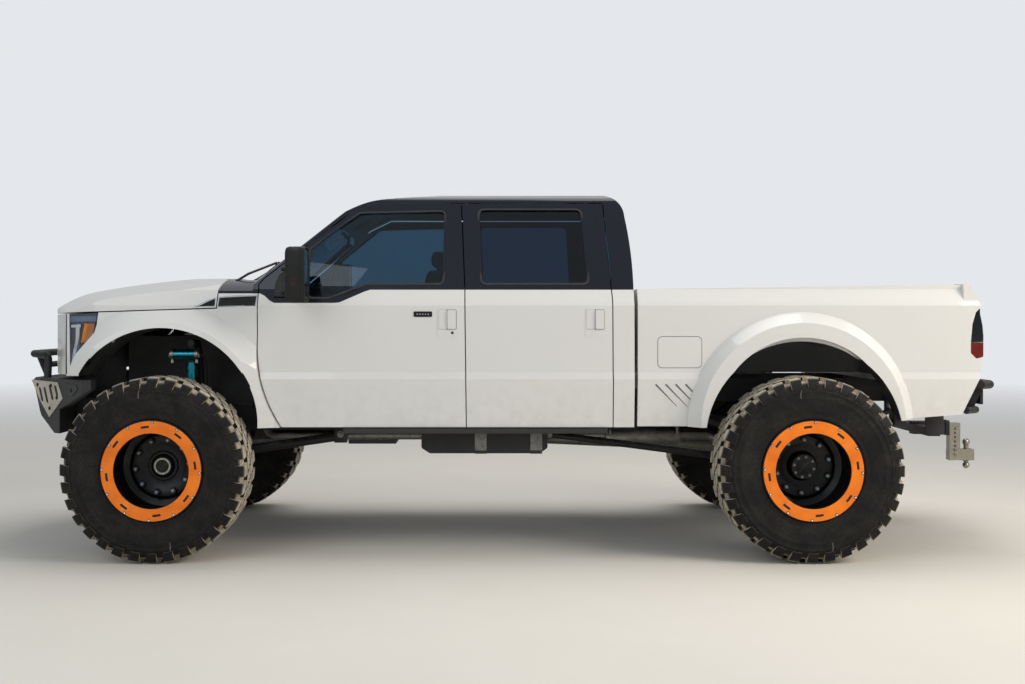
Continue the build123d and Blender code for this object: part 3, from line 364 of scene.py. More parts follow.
@dataclass(frozen=True)
class Coated:
    """A powder coat, moulded plastic or cast surface: a grained solid colour with dust."""

    name: str
    colour: Colour
    roughness: float = 0.5
    grain: float = 600.0
    depth: float = 0.0004
    dust: float = 0.2
    metallic: float = 0.0
    specular: float = 0.3
    wear: Colour = (0.20, 0.20, 0.20)
    wear_amount: float = 0.15

    def make(self) -> bpy.types.Material:
        """Makes the material.

        Returns:
            The material.
        """
        shades = Shades(self.name)
        tone = shades.ramp(shades.noise(7.0, 5.0), 0.3, 0.7)
        base = shades.mix(tone, tuple(value * 0.8 for value in self.colour),
                          tuple(min(1.0, value * 1.25) for value in self.colour))
        geometry = shades.tree.nodes.new("ShaderNodeNewGeometry")
        up = shades.tree.nodes.new("ShaderNodeSeparateXYZ")
        shades.link(geometry.outputs["Normal"], up.inputs[0])
        settled = shades.math("MULTIPLY", shades.ramp(up.outputs[2], 0.2, 1.0),
                              shades.ramp(shades.noise(22.0, 6.0), 0.38, 0.65))
        dust = shades.math("MULTIPLY", settled, self.dust)
        base = shades.mix(dust, base, (0.36, 0.32, 0.27))
        worn = shades.math("MULTIPLY", shades.edges(0.53, 0.62), self.wear_amount)
        shades.feed("Base Color", shades.mix(worn, base, self.wear))
        rough = shades.ramp(shades.noise(35.0, 4.0), 0.3, 0.7,
                            self.roughness * 0.85, min(1.0, self.roughness * 1.15))
        shades.feed("Roughness", rough)
        shades.set(Metallic=self.metallic, Specular_IOR_Level=self.specular)
        shades.bump(shades.noise(self.grain, 3.0), 0.35, self.depth)
        return shades.material


@dataclass(frozen=True)
class Rubber:
    """Tyre rubber: dark brown-black with settled dust and scuffs on the raised blocks."""

    name: str
    colour: Colour = (0.0080, 0.0075, 0.0075)
    dusty: Colour = (0.070, 0.061, 0.050)
    tread: Colour = (0.60, 0.53, 0.42)
    axles: tuple[float, float, float] = (2.186, -1.781, 0.562)

    def make(self) -> bpy.types.Material:
        """Makes the material.

        Returns:
            The material.
        """
        shades = Shades(self.name)
        smear = shades.ramp(shades.noise(9.0, 8.0, 0.62), 0.42, 0.72)
        fine = shades.ramp(shades.noise(120.0, 4.0), 0.35, 0.7)
        amount = shades.math("MULTIPLY", smear, shades.math("MULTIPLY", fine, 0.5))
        base = shades.mix(amount, self.colour, self.dusty)
        worn = shades.math("MULTIPLY", self.outer(shades),
                           shades.ramp(shades.noise(26.0, 7.0, 0.6), 0.30, 0.62, 0.35, 0.95))
        shades.feed("Base Color", shades.mix(worn, base, self.tread))
        shades.feed("Roughness", shades.ramp(shades.noise(40.0, 4.0), 0.3, 0.7, 0.58, 0.82))
        shades.set(Specular_IOR_Level=0.22)
        shades.bump(shades.noise(700.0, 3.0), 0.3, 0.0005)
        return shades.material

    def outer(self, shades: Shades):
        """Where the road's dust lies: the tread's faces and the sides of its grooves.

        Args:
            shades: The material in the making.

        Returns:
            A socket from 0 to 1.
        """
        x, _, z = shades.split()
        front, rear, height = self.axles
        centre = shades.math("ADD", shades.math("MULTIPLY", shades.math("GREATER_THAN", x, 0.2),
                                                front - rear), rear)
        along = shades.math("POWER", shades.math(
            "ABSOLUTE", shades.math("SUBTRACT", x, centre)), 2.0)
        up = shades.math("POWER", shades.math("ABSOLUTE", shades.math("SUBTRACT", z, height)), 2.0)
        radius = shades.math("SQRT", shades.math("ADD", along, up))
        normal = shades.tree.nodes.new("ShaderNodeSeparateXYZ")
        shades.link(shades.tree.nodes.new("ShaderNodeTexCoord").outputs["Normal"],
                    normal.inputs[0])
        sideways = shades.math("ABSOLUTE", normal.outputs[1])
        return shades.math("MULTIPLY", shades.ramp(sideways, 0.35, 0.75, 1.0, 0.0),
                           shades.ramp(radius, 0.490, 0.515))


@dataclass(frozen=True)
class Glass:
    """Tinted pane, with faint dust."""

    name: str
    tint: Colour = (0.48, 0.60, 0.66)

    def make(self) -> bpy.types.Material:
        """Makes the material.

        Returns:
            The material.
        """
        shades = Shades(self.name)
        shades.feed("Base Color", shades.mix(shades.ramp(shades.noise(3.0), 0.3, 0.7, 0.0, 0.2),
                                             self.tint, tuple(v * 0.94 for v in self.tint)))
        shades.set(Roughness=0.0, Transmission_Weight=1.0, IOR=1.45)
        return shades.material


@dataclass(frozen=True)
class Metal:
    """Bare or plated metal with a fine finish and faint stains."""

    name: str
    colour: Colour
    roughness: float = 0.25
    grain: float = 300.0
    stain: float = 0.2

    def make(self) -> bpy.types.Material:
        """Makes the material.

        Returns:
            The material.
        """
        shades = Shades(self.name)
        stain = shades.ramp(shades.noise(30.0, 6.0), 0.45, 0.75, 0.0, self.stain)
        shades.feed("Base Color", shades.mix(stain, self.colour,
                                             tuple(value * 0.45 for value in self.colour)))
        shades.feed("Roughness", shades.ramp(shades.noise(60.0, 4.0), 0.3, 0.7,
                                             self.roughness * 0.7, self.roughness * 1.4))
        shades.set(Metallic=1.0)
        shades.bump(shades.noise(self.grain, 3.0), 0.12, 0.0003)
        return shades.material


@dataclass(frozen=True)
class Cloth:
    """Woven seat cloth with a visible weave and sheen."""

    name: str
    colour: Colour
    threads: float = 900.0

    def make(self) -> bpy.types.Material:
        """Makes the material.

        Returns:
            The material.
        """
        shades = Shades(self.name)
        x, y, z = shades.split()
        across = shades.math("SINE", shades.math("MULTIPLY", y, self.threads))
        along = shades.math("SINE", shades.math("MULTIPLY", shades.math("ADD", x, z), self.threads))
        weave = shades.ramp(shades.math("MULTIPLY", across, along), -1.0, 1.0)
        tone = shades.math("MULTIPLY", weave, shades.ramp(shades.noise(12.0), 0.3, 0.7, 0.6, 1.0))
        shades.feed("Base Color", shades.mix(tone, tuple(value * 0.6 for value in self.colour),
                                             tuple(value * 1.5 for value in self.colour)))
        shades.set(Roughness=0.9, Sheen_Weight=0.3)
        shades.bump(weave, 0.4, 0.0006)
        return shades.material


class Finish(Enum):
    """Every finish on the truck."""

    BODY = Paint("pearl_two_tone", (0.74, 0.735, 0.715), upper=(0.0032, 0.0060, 0.0150),
                 inside=(0.45, 0.0, 1.50))
    FRONT = Paint("pearl_white_front", (0.74, 0.735, 0.715), inside=(2.30, 0.0, 1.00))
    WHITE = Paint("pearl_white", (0.74, 0.735, 0.715))
    SHADE = Coated("groove_shade", (0.16, 0.16, 0.155), 0.6)
    GLOSS_BLACK = Coated("gloss_black", (0.006, 0.006, 0.008), 0.12, depth=0.0001, dust=0.03)
    CHALK = Coated("chalk", (0.30, 0.29, 0.27), 0.9)
    BLUE_SMOKE = Coated("lamp_bowl", (0.012, 0.018, 0.032), 0.15, depth=0.0001, dust=0.0)
    LAMP_BLUE = Coated("lamp_reflector", (0.13, 0.19, 0.30), 0.15, depth=0.0001, dust=0.0,
                       metallic=0.6)
    AMBER = Coated("amber_reflector", (0.62, 0.20, 0.02), 0.25, grain=400.0, dust=0.0)
    SMOKED_AMBER = Coated("smoked_amber", (0.030, 0.012, 0.008), 0.12, depth=0.0001, dust=0.0)
    RED = Coated("red_lens", (0.14, 0.012, 0.010), 0.12, depth=0.0001, dust=0.0)
    LAMP_GLASS = Glass("lamp_glass", (0.86, 0.89, 0.94))
    PRIVACY = Glass("privacy_glass", (0.07, 0.13, 0.20))
    NAVY = Paint("navy_black", (0.0032, 0.0060, 0.0150), roughness=0.35, dust=0.05)
    CHASSIS = Coated("chassis_black", (0.011, 0.011, 0.0125), 0.42)
    # A painted highlight of sun on the black front bumper's angled side face.
    BUMPER_FACE = Coated("bumper_face", (0.46, 0.42, 0.34), 0.45)
    RIM = Coated("rim_black", (0.006, 0.006, 0.007), 0.35, dust=0.04)
    ORANGE = Coated("ring_orange", (0.98, 0.20, 0.011), 0.40, dust=0.04, wear=(0.9, 0.4, 0.2))
    RUBBER = Rubber("tyre_rubber")
    PLASTIC = Coated("black_plastic", (0.007, 0.007, 0.0075), 0.6, grain=900.0)
    CABIN = Coated("cabin_plastic", (0.035, 0.035, 0.04), 0.7, grain=1200.0, dust=0.05)
    CLOTH = Cloth("seat_cloth", (0.045, 0.045, 0.05))
    GLASS = Glass("tinted_glass", (0.12, 0.235, 0.32))
    LENS = Coated("smoked_lens", (0.006, 0.007, 0.011), 0.08, depth=0.0001, dust=0.02)
    IRON = Coated("cast_iron", (0.05, 0.05, 0.05), 0.75, grain=250.0, depth=0.001)
    STEEL = Metal("dull_steel", (0.26, 0.25, 0.23), 0.45, stain=0.6)
    ALUMINIUM = Metal("machined_aluminium", (0.36, 0.34, 0.29), 0.34)
    TEAL = Metal("teal_anodised", (0.03, 0.33, 0.42), 0.28)
    CHROME = Metal("chrome", (0.85, 0.86, 0.88), 0.07, stain=0.05)
    NUT = Coated("nut_cap", (0.36, 0.38, 0.42), 0.22, depth=0.0001, dust=0.0, metallic=0.3)

    def material(self) -> bpy.types.Material:
        """The finish's material, made once.

        Returns:
            The material.
        """
        name = f"{self.value.name}_finish"
        known = bpy.data.materials.get(name)
        if known is None:
            known = self.value.make()
            known.name = name
        return known


NODE_FINISHES: dict[Finish, tuple[str, ...]] = {
    Finish.BODY: (
        "cab", "front_door_left", "front_door_right", "rear_door_left", "rear_door_right",
    ),
    Finish.FRONT: ("hood", "fender_left", "fender_right", "grille"),
    Finish.WHITE: ("bed_side_left", "bed_side_right", "bed_box", "tailgate"),
    Finish.NAVY: ("cowl",),
    Finish.CHASSIS: (
        "frame", "front_bumper", "bull_bar", "rear_bumper", "front_axle", "rear_axle",
        "suspension_links",
        "knuckle_left", "knuckle_right", "tie_rod", "leaf_springs", "front_springs",
    ),
    Finish.PLASTIC: (
        "wheel_liners", "radiator_support", "fuel_tank", "side_steps", "mirror_left",
        "mirror_right",
    ),
    Finish.CABIN: ("dashboard",),
    Finish.CLOTH: ("seats",),
    Finish.GLASS: ("cab_glass", "front_door_glass_left", "front_door_glass_right"),
    Finish.PRIVACY: ("rear_door_glass_left", "rear_door_glass_right"),
    Finish.LENS: ("headlamps", "tail_lamps"),
    Finish.IRON: ("engine",),
    Finish.STEEL: ("exhaust", "drive_shafts"),
    Finish.ALUMINIUM: ("ball_mount",),
    Finish.TEAL: ("shock_absorbers",),
    Finish.RIM: (
        "wheel_front_left", "wheel_front_right", "wheel_rear_left", "wheel_rear_right",
    ),
    Finish.RUBBER: (
        "tyre_front_left", "tyre_front_right", "tyre_rear_left", "tyre_rear_right",
    ),
}


def dress_nodes() -> None:
    """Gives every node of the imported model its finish."""
    for finish, names in NODE_FINISHES.items():
        for name in names:
            node = frame["nodes"][name]
            node.data.materials.clear()
            node.data.materials.append(finish.material())


@dataclass
class Studio:
    """The floor, lights and camera."""

    camera_place: Point = (0.162, 9.010, 1.468)
    lens: float = 45.2
    shift: tuple[float, float] = (0.0229, -0.0215)
    floor_colour: Colour = (0.72, 0.69, 0.63)
    background: Colour = (0.78, 0.80, 0.83)
    fade_from: float = 5.0
    fade_to: float = 24.0
    ambient: float = 0.42

    def build(self) -> None:
        """Makes everything that isn't part of the truck."""
        self.floor()
        self.world()
        self.lamps()
        self.camera()

    def floor(self) -> None:
        """Makes a large plain floor."""
        mesh = bpy.data.meshes.new("floor")
        half = 60.0
        mesh.from_pydata([(-half, -half, 0), (half, -half, 0), (half, half, 0), (-half, half, 0)],
                         [], [(0, 1, 2, 3)])
        floor = bpy.data.objects.new("floor", mesh)
        bpy.context.collection.objects.link(floor)
        shades = Shades("studio_floor")
        tone = shades.ramp(shades.noise(1.5), 0.3, 0.7)
        shades.feed("Base Color", shades.mix(tone, self.floor_colour,
                                             tuple(v * 0.97 for v in self.floor_colour)))
        shades.set(Roughness=0.85)
        self.fade(shades)
        mesh.materials.append(shades.material)

    def fade(self, shades: Shades) -> None:
        """Lets the far floor run into the background, for camera rays only.

        Args:
            shades: The floor's material in the making.
        """
        x, y, _ = shades.split()
        reach = shades.math("SQRT", shades.math("ADD", shades.math("MULTIPLY", x, x),
                                                shades.math("MULTIPLY", y, y)))
        rays = shades.tree.nodes.new("ShaderNodeLightPath")
        far = shades.math("MULTIPLY", shades.ramp(reach, self.fade_from, self.fade_to),
                          rays.outputs["Is Camera Ray"])
        pale = shades.tree.nodes.new("ShaderNodeEmission")
        pale.inputs[0].default_value = (*self.background, 1.0)
        mixed = shades.tree.nodes.new("ShaderNodeMixShader")
        shades.link(far, mixed.inputs[0])
        shades.link(shades.shader.outputs[0], mixed.inputs[1])
        shades.link(pale.outputs[0], mixed.inputs[2])
        shades.link(mixed.outputs[0], shades.output.inputs["Surface"])

    def world(self) -> None:
        """Lights the scene softly, with a pale background for what the camera sees."""
        world = bpy.data.worlds.new("studio")
        bpy.context.scene.world = world
        world.use_nodes = True
        tree = world.node_tree
        tree.nodes.clear()
        output = tree.nodes.new("ShaderNodeOutputWorld")
        soft = tree.nodes.new("ShaderNodeBackground")
        soft.inputs[0].default_value = (0.93, 0.96, 1.0, 1.0)
        soft.inputs[1].default_value = self.ambient
        pale = tree.nodes.new("ShaderNodeBackground")
        pale.inputs[0].default_value = (*self.background, 1.0)
        rays = tree.nodes.new("ShaderNodeLightPath")
        seen = tree.nodes.new("ShaderNodeMath")
        seen.operation = "MAXIMUM"
        tree.links.new(rays.outputs["Is Camera Ray"], seen.inputs[0])
        tree.links.new(rays.outputs["Is Transmission Ray"], seen.inputs[1])
        mixed = tree.nodes.new("ShaderNodeMixShader")
        tree.links.new(seen.outputs[0], mixed.inputs[0])
        tree.links.new(soft.outputs[0], mixed.inputs[1])
        tree.links.new(pale.outputs[0], mixed.inputs[2])
        tree.links.new(mixed.outputs[0], output.inputs[0])

    def lamps(self) -> None:
        """Hangs three large soft lamps."""
        for name, place, size, power, colour in (
            ("key", (-7.0, 4.5, 5.0), 4.0, 420.0, (1.0, 0.93, 0.82)),
            ("fill", (5.0, 8.0, 5.0), 6.0, 180.0, (0.84, 0.92, 1.0)),
            ("top", (-0.5, -1.5, 8.0), 6.0, 330.0, (1.0, 0.98, 0.95)),
        ):
            light = bpy.data.lights.new(name, "AREA")
            light.energy = power
            light.size = size
            light.color = colour
            lamp = bpy.data.objects.new(name, light)
            lamp.location = place
            lamp.rotation_euler = (Vector((0.0, 0.0, 1.0)) - Vector(place)).to_track_quat(
                "-Z", "Y").to_euler()
            bpy.context.collection.objects.link(lamp)

    def camera(self) -> None:
        """Places the camera at the photograph's viewing angle."""
        data = bpy.data.cameras.new("camera")
        data.lens = self.lens
        data.sensor_width = 36.0
        data.shift_x, data.shift_y = self.shift
        data.clip_end = 200.0
        camera = bpy.data.objects.new("camera", data)
        camera.location = self.camera_place
        camera.rotation_euler = (math.radians(90.0), 0.0, math.radians(180.0))
        bpy.context.collection.objects.link(camera)
        bpy.context.scene.camera = camera
        bpy.context.scene.view_settings.view_transform = "Standard"


class Piece:
    """A mesh piece in the making: shapes are added in the truck's frame, then built."""

    def __init__(self, name: str, side: Side = Side.LEFT) -> None:
        """Starts an empty piece.

        Args:
            name: The piece's name.
            side: The side it is built for; shapes are given for the left.
        """
        self.name = name if side is Side.LEFT else name.replace("left", "right")
        self.side = side
        self.finishes: list[Finish] = []
        self.mark = 0
        self.mesh = bmesh.new()

    def use(self, finish: Finish) -> "Piece":
        """Gives the shapes added next a finish, and returns this piece."""
        if finish not in self.finishes:
            self.finishes.append(finish)
        self.mark = self.finishes.index(finish)
        return self

    def add(self, points: Iterable[Sequence[float]], faces: Iterable[Sequence[int]]) -> None:
        """Adds faces over new points.

        Args:
            points: The points, for the left side.
            faces: Indices into the points, wound so that normals face out.
        """
        sign = self.side.value
        verts = [self.mesh.verts.new((x, y * sign, z)) for x, y, z in points]
        for face in faces:
            corners = [verts[index] for index in (face if sign > 0 else reversed(face))]
            made = self.mesh.faces.new(corners)
            made.material_index = self.mark
            made.smooth = True

    def loft(self, rings: Sequence[Sequence[Sequence[float]]], closed: bool = True,
             caps: bool = True, around: bool = False) -> None:
        """Joins rings of points into a skin.

        Args:
            rings: Rings of as many points each.
            closed: Whether each ring's last point joins its first.
            caps: Whether the two ends are closed.
            around: Whether the last ring joins the first.
        """
        count = len(rings[0])
        points = [point for ring in rings for point in ring]
        faces = []
        for row in range(len(rings) - (0 if around else 1)):
            low, high = row * count, (row + 1) % len(rings) * count
            for step in range(count if closed else count - 1):
                ahead = (step + 1) % count
                faces.append((low + step, low + ahead, high + ahead, high + step))
        if caps and not around:
            faces.append(tuple(reversed(range(count))))
            faces.append(tuple(range(len(points) - count, len(points))))
        self.add(points, faces)

    def lathe(self, profile: Sequence[tuple[float, float]], centre: Point, axis: Point,
              segments: int = 48, closed: bool = False) -> None:
        """Turns a profile about an axis.

        Args:
            profile: (radius, distance along the axis) points.
            centre: A point on the axis.
            axis: The axis's direction.
            segments: Steps round the axis.
            closed: Whether the profile's last point joins its first.
        """
        along = Vector(axis).normalized()
        first = along.orthogonal().normalized()
        second = along.cross(first)
        rings = []
        for step in range(segments):
            angle = math.tau * step / segments
            out = first * math.cos(angle) + second * math.sin(angle)
            rings.append([tuple(Vector(centre) + along * far + out * radius)
                          for radius, far in profile])
        self.loft(rings, closed=closed, caps=False, around=True)

    def prism(self, outline: Sequence[tuple[float, float]], axis: str, low: float,
              high: float) -> None:
        """Extrudes an outline along one axis.

        Args:
            outline: Points in the plane of the other two axes, in X, Y, Z order.
            axis: X, Y or Z.
            low: Where it starts.
            high: Where it ends.
        """
        place = {"X": lambda a, b, c: (c, a, b), "Y": lambda a, b, c: (a, c, b),
                 "Z": lambda a, b, c: (a, b, c)}[axis]
        rings = [[place(a, b, level) for a, b in outline] for level in (low, high)]
        area = sum(a * d - b * c for (a, b), (c, d) in zip(outline, [*outline[1:], outline[0]]))
        if (area > 0) == (axis == "Y"):
            rings = [list(reversed(ring)) for ring in rings]
        self.loft(rings)

    def box(self, low: Point, high: Point) -> None:
        """Adds a box from its lowest to its highest corner; edges are bevelled on building."""
        outline = [(low[0], low[1]), (high[0], low[1]), (high[0], high[1]), (low[0], high[1])]
        self.prism(outline, "Z", low[2], high[2])

    def tube(self, path: Sequence[Sequence[float]], radius: float, segments: int = 12,
             bend: float = 0.0, caps: bool = True) -> None:
        """Sweeps a round section along a path.

        Args:
            path: The path's points.
            radius: The tube's radius.
            segments: Steps round the tube.
            bend: The radius given to the path's corners.
            caps: Whether the ends are closed.
        """
        line = rounded(path, bend) if bend else [Vector(point) for point in path]
        rings = []
        normal = (line[1] - line[0]).orthogonal().normalized()
        for index, point in enumerate(line):
            before = line[max(index - 1, 0)]
            after = line[min(index + 1, len(line) - 1)]
            along = (after - before).normalized()
            normal = (normal - along * normal.dot(along)).normalized()
            other = along.cross(normal)
            rings.append([tuple(point + (normal * math.cos(a) + other * math.sin(a)) * radius)
                          for a in (math.tau * step / segments for step in range(segments))])
        self.loft(rings, caps=caps)

    def bolt(self, place: Point, axis: Point, radius: float, height: float,
             washer: bool = True) -> None:
        """Adds a hexagon head on a washer, its outer end domed.

        Args:
            place: Where the head meets the surface.
            axis: The way it stands out.
            radius: The hexagon's corner radius.
            height: The head's height.
            washer: Whether a washer lies under it.
        """
        along = Vector(axis).normalized()
        first = along.orthogonal().normalized()
        second = along.cross(first)
        if washer:
            self.lathe(((0.0, 0.0), (radius * 1.3, 0.0), (radius * 1.3, height * 0.16),
                        (0.0, height * 0.16)), place, axis, 20, True)
        rings = []
        for share, far in ((1.0, 0.1), (1.0, 0.82), (0.86, 1.0), (0.4, 1.03)):
            rings.append([tuple(Vector(place) + along * height * far
                                + (first * math.cos(a) + second * math.sin(a)) * radius * share)
                          for a in (math.tau * step / 6 for step in range(6))])
        self.loft(rings)

    def build(self, body: str, slot: str, bevel: float = 0.0, segments: int = 2,
              angle: float = 32.0, replaces: Sequence[str] = ()) -> bpy.types.Object:
        """Finishes the piece and puts it on its body.

        Args:
            body: The body it rides on, named for the left side.
            slot: The record's material slot; not used.
            bevel: The width of its rounded edges.
            segments: Steps across a rounded edge.
            angle: Edges sharper than this stay sharp or are rounded, in degrees.
            replaces: CAD nodes it stands for, named for the left side.

        Returns:
            The object.
        """
        data = bpy.data.meshes.new(self.name)
        bmesh.ops.recalc_face_normals(self.mesh, faces=self.mesh.faces)
        self.mesh.to_mesh(data)
        self.mesh.free()
        for finish in self.finishes:
            data.materials.append(finish.material())
        data.set_sharp_from_angle(angle=math.radians(angle))
        piece = bpy.data.objects.new(self.name, data)
        bpy.context.collection.objects.link(piece)
        if bevel:
            rounding = piece.modifiers.new("edges", "BEVEL")
            rounding.width = bevel
            rounding.segments = segments
            rounding.limit_method = "ANGLE"
            rounding.angle_limit = math.radians(angle)
            rounding.harden_normals = True
        word = self.side.word
        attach(piece, body.replace("left", word))
        if replaces:
            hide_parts(*(node.replace("left", word) for node in replaces))
        log.info("%s: %d faces", self.name, len(data.polygons))
        return piece


def rounded(path: Sequence[Sequence[float]], bend: float, steps: int = 6) -> list[Vector]:
    """Rounds a path's corners.

    Args:
        path: The path's points.
        bend: The corners' radius.
        steps: Points along each rounded corner.

    Returns:
        The new path.
    """
    points = [Vector(point) for point in path]
    line = [points[0]]
    for before, corner, after in zip(points, points[1:], points[2:]):
        back, ahead = before - corner, after - corner
        angle = back.angle(ahead)
        if angle > math.pi - 0.01:
            line.append(corner)
            continue
        reach = min(bend / math.tan(angle / 2), back.length * 0.49, ahead.length * 0.49)
        start, end = corner + back.normalized() * reach, corner + ahead.normalized() * reach
        for step in range(steps + 1):
            t = step / steps
            line.append(start * (1 - t) ** 2 + corner * 2 * t * (1 - t) + end * t * t)
    line.append(points[-1])
    return line


def rectangle(low: tuple[float, float], high: tuple[float, float], corner: float,
              steps: int = 5) -> list[tuple[float, float]]:
    """A rectangle's outline with rounded corners, counter-clockwise.

    Args:
        low: The lowest corner.
        high: The highest corner.
        corner: The corners' radius.
        steps: Points along each rounded corner.

    Returns:
        The outline's points.
    """
    outline = []
    for index, (x, y) in enumerate(((high[0], high[1]), (low[0], high[1]),
                                    (low[0], low[1]), (high[0], low[1]))):
        centre_x = x - corner if x == high[0] else x + corner
        centre_y = y - corner if y == high[1] else y + corner
        for step in range(steps + 1):
            angle = math.pi / 2 * (index + step / steps)
            outline.append((centre_x + corner * math.cos(angle),
                            centre_y + corner * math.sin(angle)))
    return outline


def polar(radius: float, angle: float) -> tuple[float, float]:
    """The X and Z of a point at a radius and an angle in degrees, about the origin."""
    return radius * math.cos(math.radians(angle)), radius * math.sin(math.radians(angle))


@dataclass(frozen=True)
class Layout:
    """Sizes that several sub-assemblies share, in metres, in the truck's frame."""

    front_axle_x: float = 2.186
    rear_axle_x: float = -1.781
    axle_z: float = 0.562
    wheel_y: float = 1.1145
    body_side: tuple[tuple[float, float], ...] = (
        (0.798, 0.968), (1.100, 1.012), (1.142, 1.000), (1.558, 1.006), (1.582, 0.996),
        (1.661, 0.955),
    )

    def skin_y(self, z: float) -> float:
        """The body side's half width at a height.

        Args:
            z: The height.

        Returns:
            The half width.
        """
        rows = self.body_side
        for (low, start), (high, end) in zip(rows, rows[1:]):
            if z <= high:
                return start + (end - start) * max(0.0, (z - low) / (high - low))
        return rows[-1][1]

    def axle(self, end: str) -> Point:
        """The middle of a left wheel.

        Args:
            end: front or rear.

        Returns:
            The wheel's centre.
        """
        return (self.front_axle_x if end == "front" else self.rear_axle_x,
                self.wheel_y, self.axle_z)


LAYOUT = Layout()


def on_skin(outline: Sequence[tuple[float, float]], lift: float) -> list[Point]:
    """Puts an outline seen from the side onto the body side.

    Args:
        outline: (X, Z) points.
        lift: How far it stands out of the skin.

    Returns:
        The points in the truck's frame.
    """
    return [(x, LAYOUT.skin_y(z) + lift, z) for x, z in outline]


def skin_plate(piece: Piece, outline: Sequence[tuple[float, float]], low: float,
               high: float) -> None:
    """Adds a plate that follows the body side.

    Args:
        piece: The piece it becomes part of.
        outline: (X, Z) points.
        low: Its inner face's lift out of the skin.
        high: Its outer face's lift.
    """
    piece.loft([on_skin(outline, low), on_skin(outline, high)])


@dataclass
class Tyre:
    """A lugged tyre: a ribbed carcass with shoulder lugs, inner blocks and chalk strokes."""

    end: str
    side: Side
    radius: float = 0.5605
    lugs: int = 32
    lug_width: float = 6.9
    block_width: float = 8.6
    segments: int = 128
    half: tuple[tuple[float, float], ...] = (
        (0.270, 0.120), (0.272, 0.150), (0.284, 0.168), (0.300, 0.176), (0.312, 0.183),
        (0.318, 0.1865), (0.326, 0.1865), (0.332, 0.1840), (0.345, 0.1870), (0.370, 0.1910),
        (0.400, 0.1935), (0.428, 0.1945), (0.434, 0.1968), (0.441, 0.1972), (0.446, 0.1948),
        (0.462, 0.1940), (0.470, 0.1932), (0.474, 0.1955), (0.480, 0.1955), (0.484, 0.1925),
        (0.490, 0.1905), (0.502, 0.1830), (0.516, 0.1740), (0.528, 0.1640), (0.534, 0.1500),
        (0.538, 0.1000), (0.540, 0.0400),
    )
    shoulder: tuple[tuple[float, float, float, float], ...] = (
        (0.5600, 0.094, -1.1, -0.9), (0.5605, 0.118, -0.2, -0.2), (0.5605, 0.134, 0.5, 0.3),
        (0.5598, 0.156, 0.5, 0.5), (0.5560, 0.166, 0.5, 0.5), (0.5440, 0.1755, 0.4, 0.4),
        (0.5250, 0.1860, 0.2, 0.2), (0.5080, 0.1925, 0.0, 0.0), (0.4960, 0.1940, -0.3, -0.3),
    )
    block: tuple[tuple[float, float, float, float], ...] = (
        (0.5610, 0.006, -2.3, -3.6), (0.5612, 0.024, -1.6, -1.9), (0.5610, 0.046, 0.4, 0.9),
        (0.5606, 0.066, 2.2, 2.0), (0.5603, 0.083, 2.8, 2.2),
    )

    def build(self) -> None:
        """Builds the tyre onto its wheel's body."""
        piece = Piece(f"tyre_{self.end}_left_lugged", self.side)
        centre = LAYOUT.axle(self.end)
        piece.use(Finish.RUBBER)
        profile = [*self.half, *((r, -y) for r, y in reversed(self.half))]
        piece.lathe(profile, centre, (0.0, 1.0, 0.0), self.segments)
        pitch = 360.0 / self.lugs
        for index in range(self.lugs):
            for face in (1, -1):
                middle = pitch * (index + (0.0 if face > 0 else 0.5))
                self.lug(piece, self.shoulder, self.lug_width, middle, face)
                self.lug(piece, self.block, self.block_width, middle + pitch * 0.45, face)
        piece.use(Finish.CHALK)
        for angle in (80.0, 255.0):
            self.stroke(piece, angle)
        name = f"wheel_{self.end}_left"
        piece.build(name, "tyre_rubber", bevel=0.0022, angle=38.0,
                    replaces=[f"tyre_{self.end}_left"])

    def lug(self, piece: Piece, rows: Sequence[tuple[float, float, float, float]],
            width: float, middle: float, face: int) -> None:
        """Adds one block of the tread.

        Args:
            piece: The tyre.
            rows: Radius, offset across and the two sides' skew in degrees, row by row.
            width: The block's angle in degrees.
            middle: The angle of its middle.
            face: 1 for the outer half of the tread, -1 for the inner.
        """
        x, y, z = LAYOUT.axle(self.end)
        rings = []
        for radius, across, start_skew, end_skew in rows:
            start = middle - width / 2 + start_skew * face
            end = middle + width / 2 + end_skew * face
            depth = 0.036 if across < 0.17 else 0.010
            inward = 0.0 if across < 0.17 else 0.024
            ring = []
            for r, a, w in ((radius - depth, start, across - inward), (radius, start, across),
                            (radius, (start * 2 + end) / 3, across),
                            (radius, (start + end * 2) / 3, across), (radius, end, across),
                            (radius - depth, end, across - inward)):
                along, up = polar(r, a)
                ring.append((x + along, y + w * face, z + up))
            rings.append(ring)
        piece.loft(rings)

    def stroke(self, piece: Piece, angle: float) -> None:
        """Adds a thin chalk stroke down the sidewall.

        Args:
            piece: The tyre.
            angle: Its angle in degrees.
        """
        x, y, z = LAYOUT.axle(self.end)
        rings = []
        for index, (radius, across) in enumerate(self.half[13:21]):
            middle = angle + index * 0.22
            ring = []
            for a, lift in ((-0.16, 0.0006), (0.16, 0.0006), (0.16, -0.002), (-0.16, -0.002)):
                along, up = polar(radius, middle + a)
                ring.append((x + along, y + across + lift, z + up))
            rings.append(ring)
        piece.loft(rings)


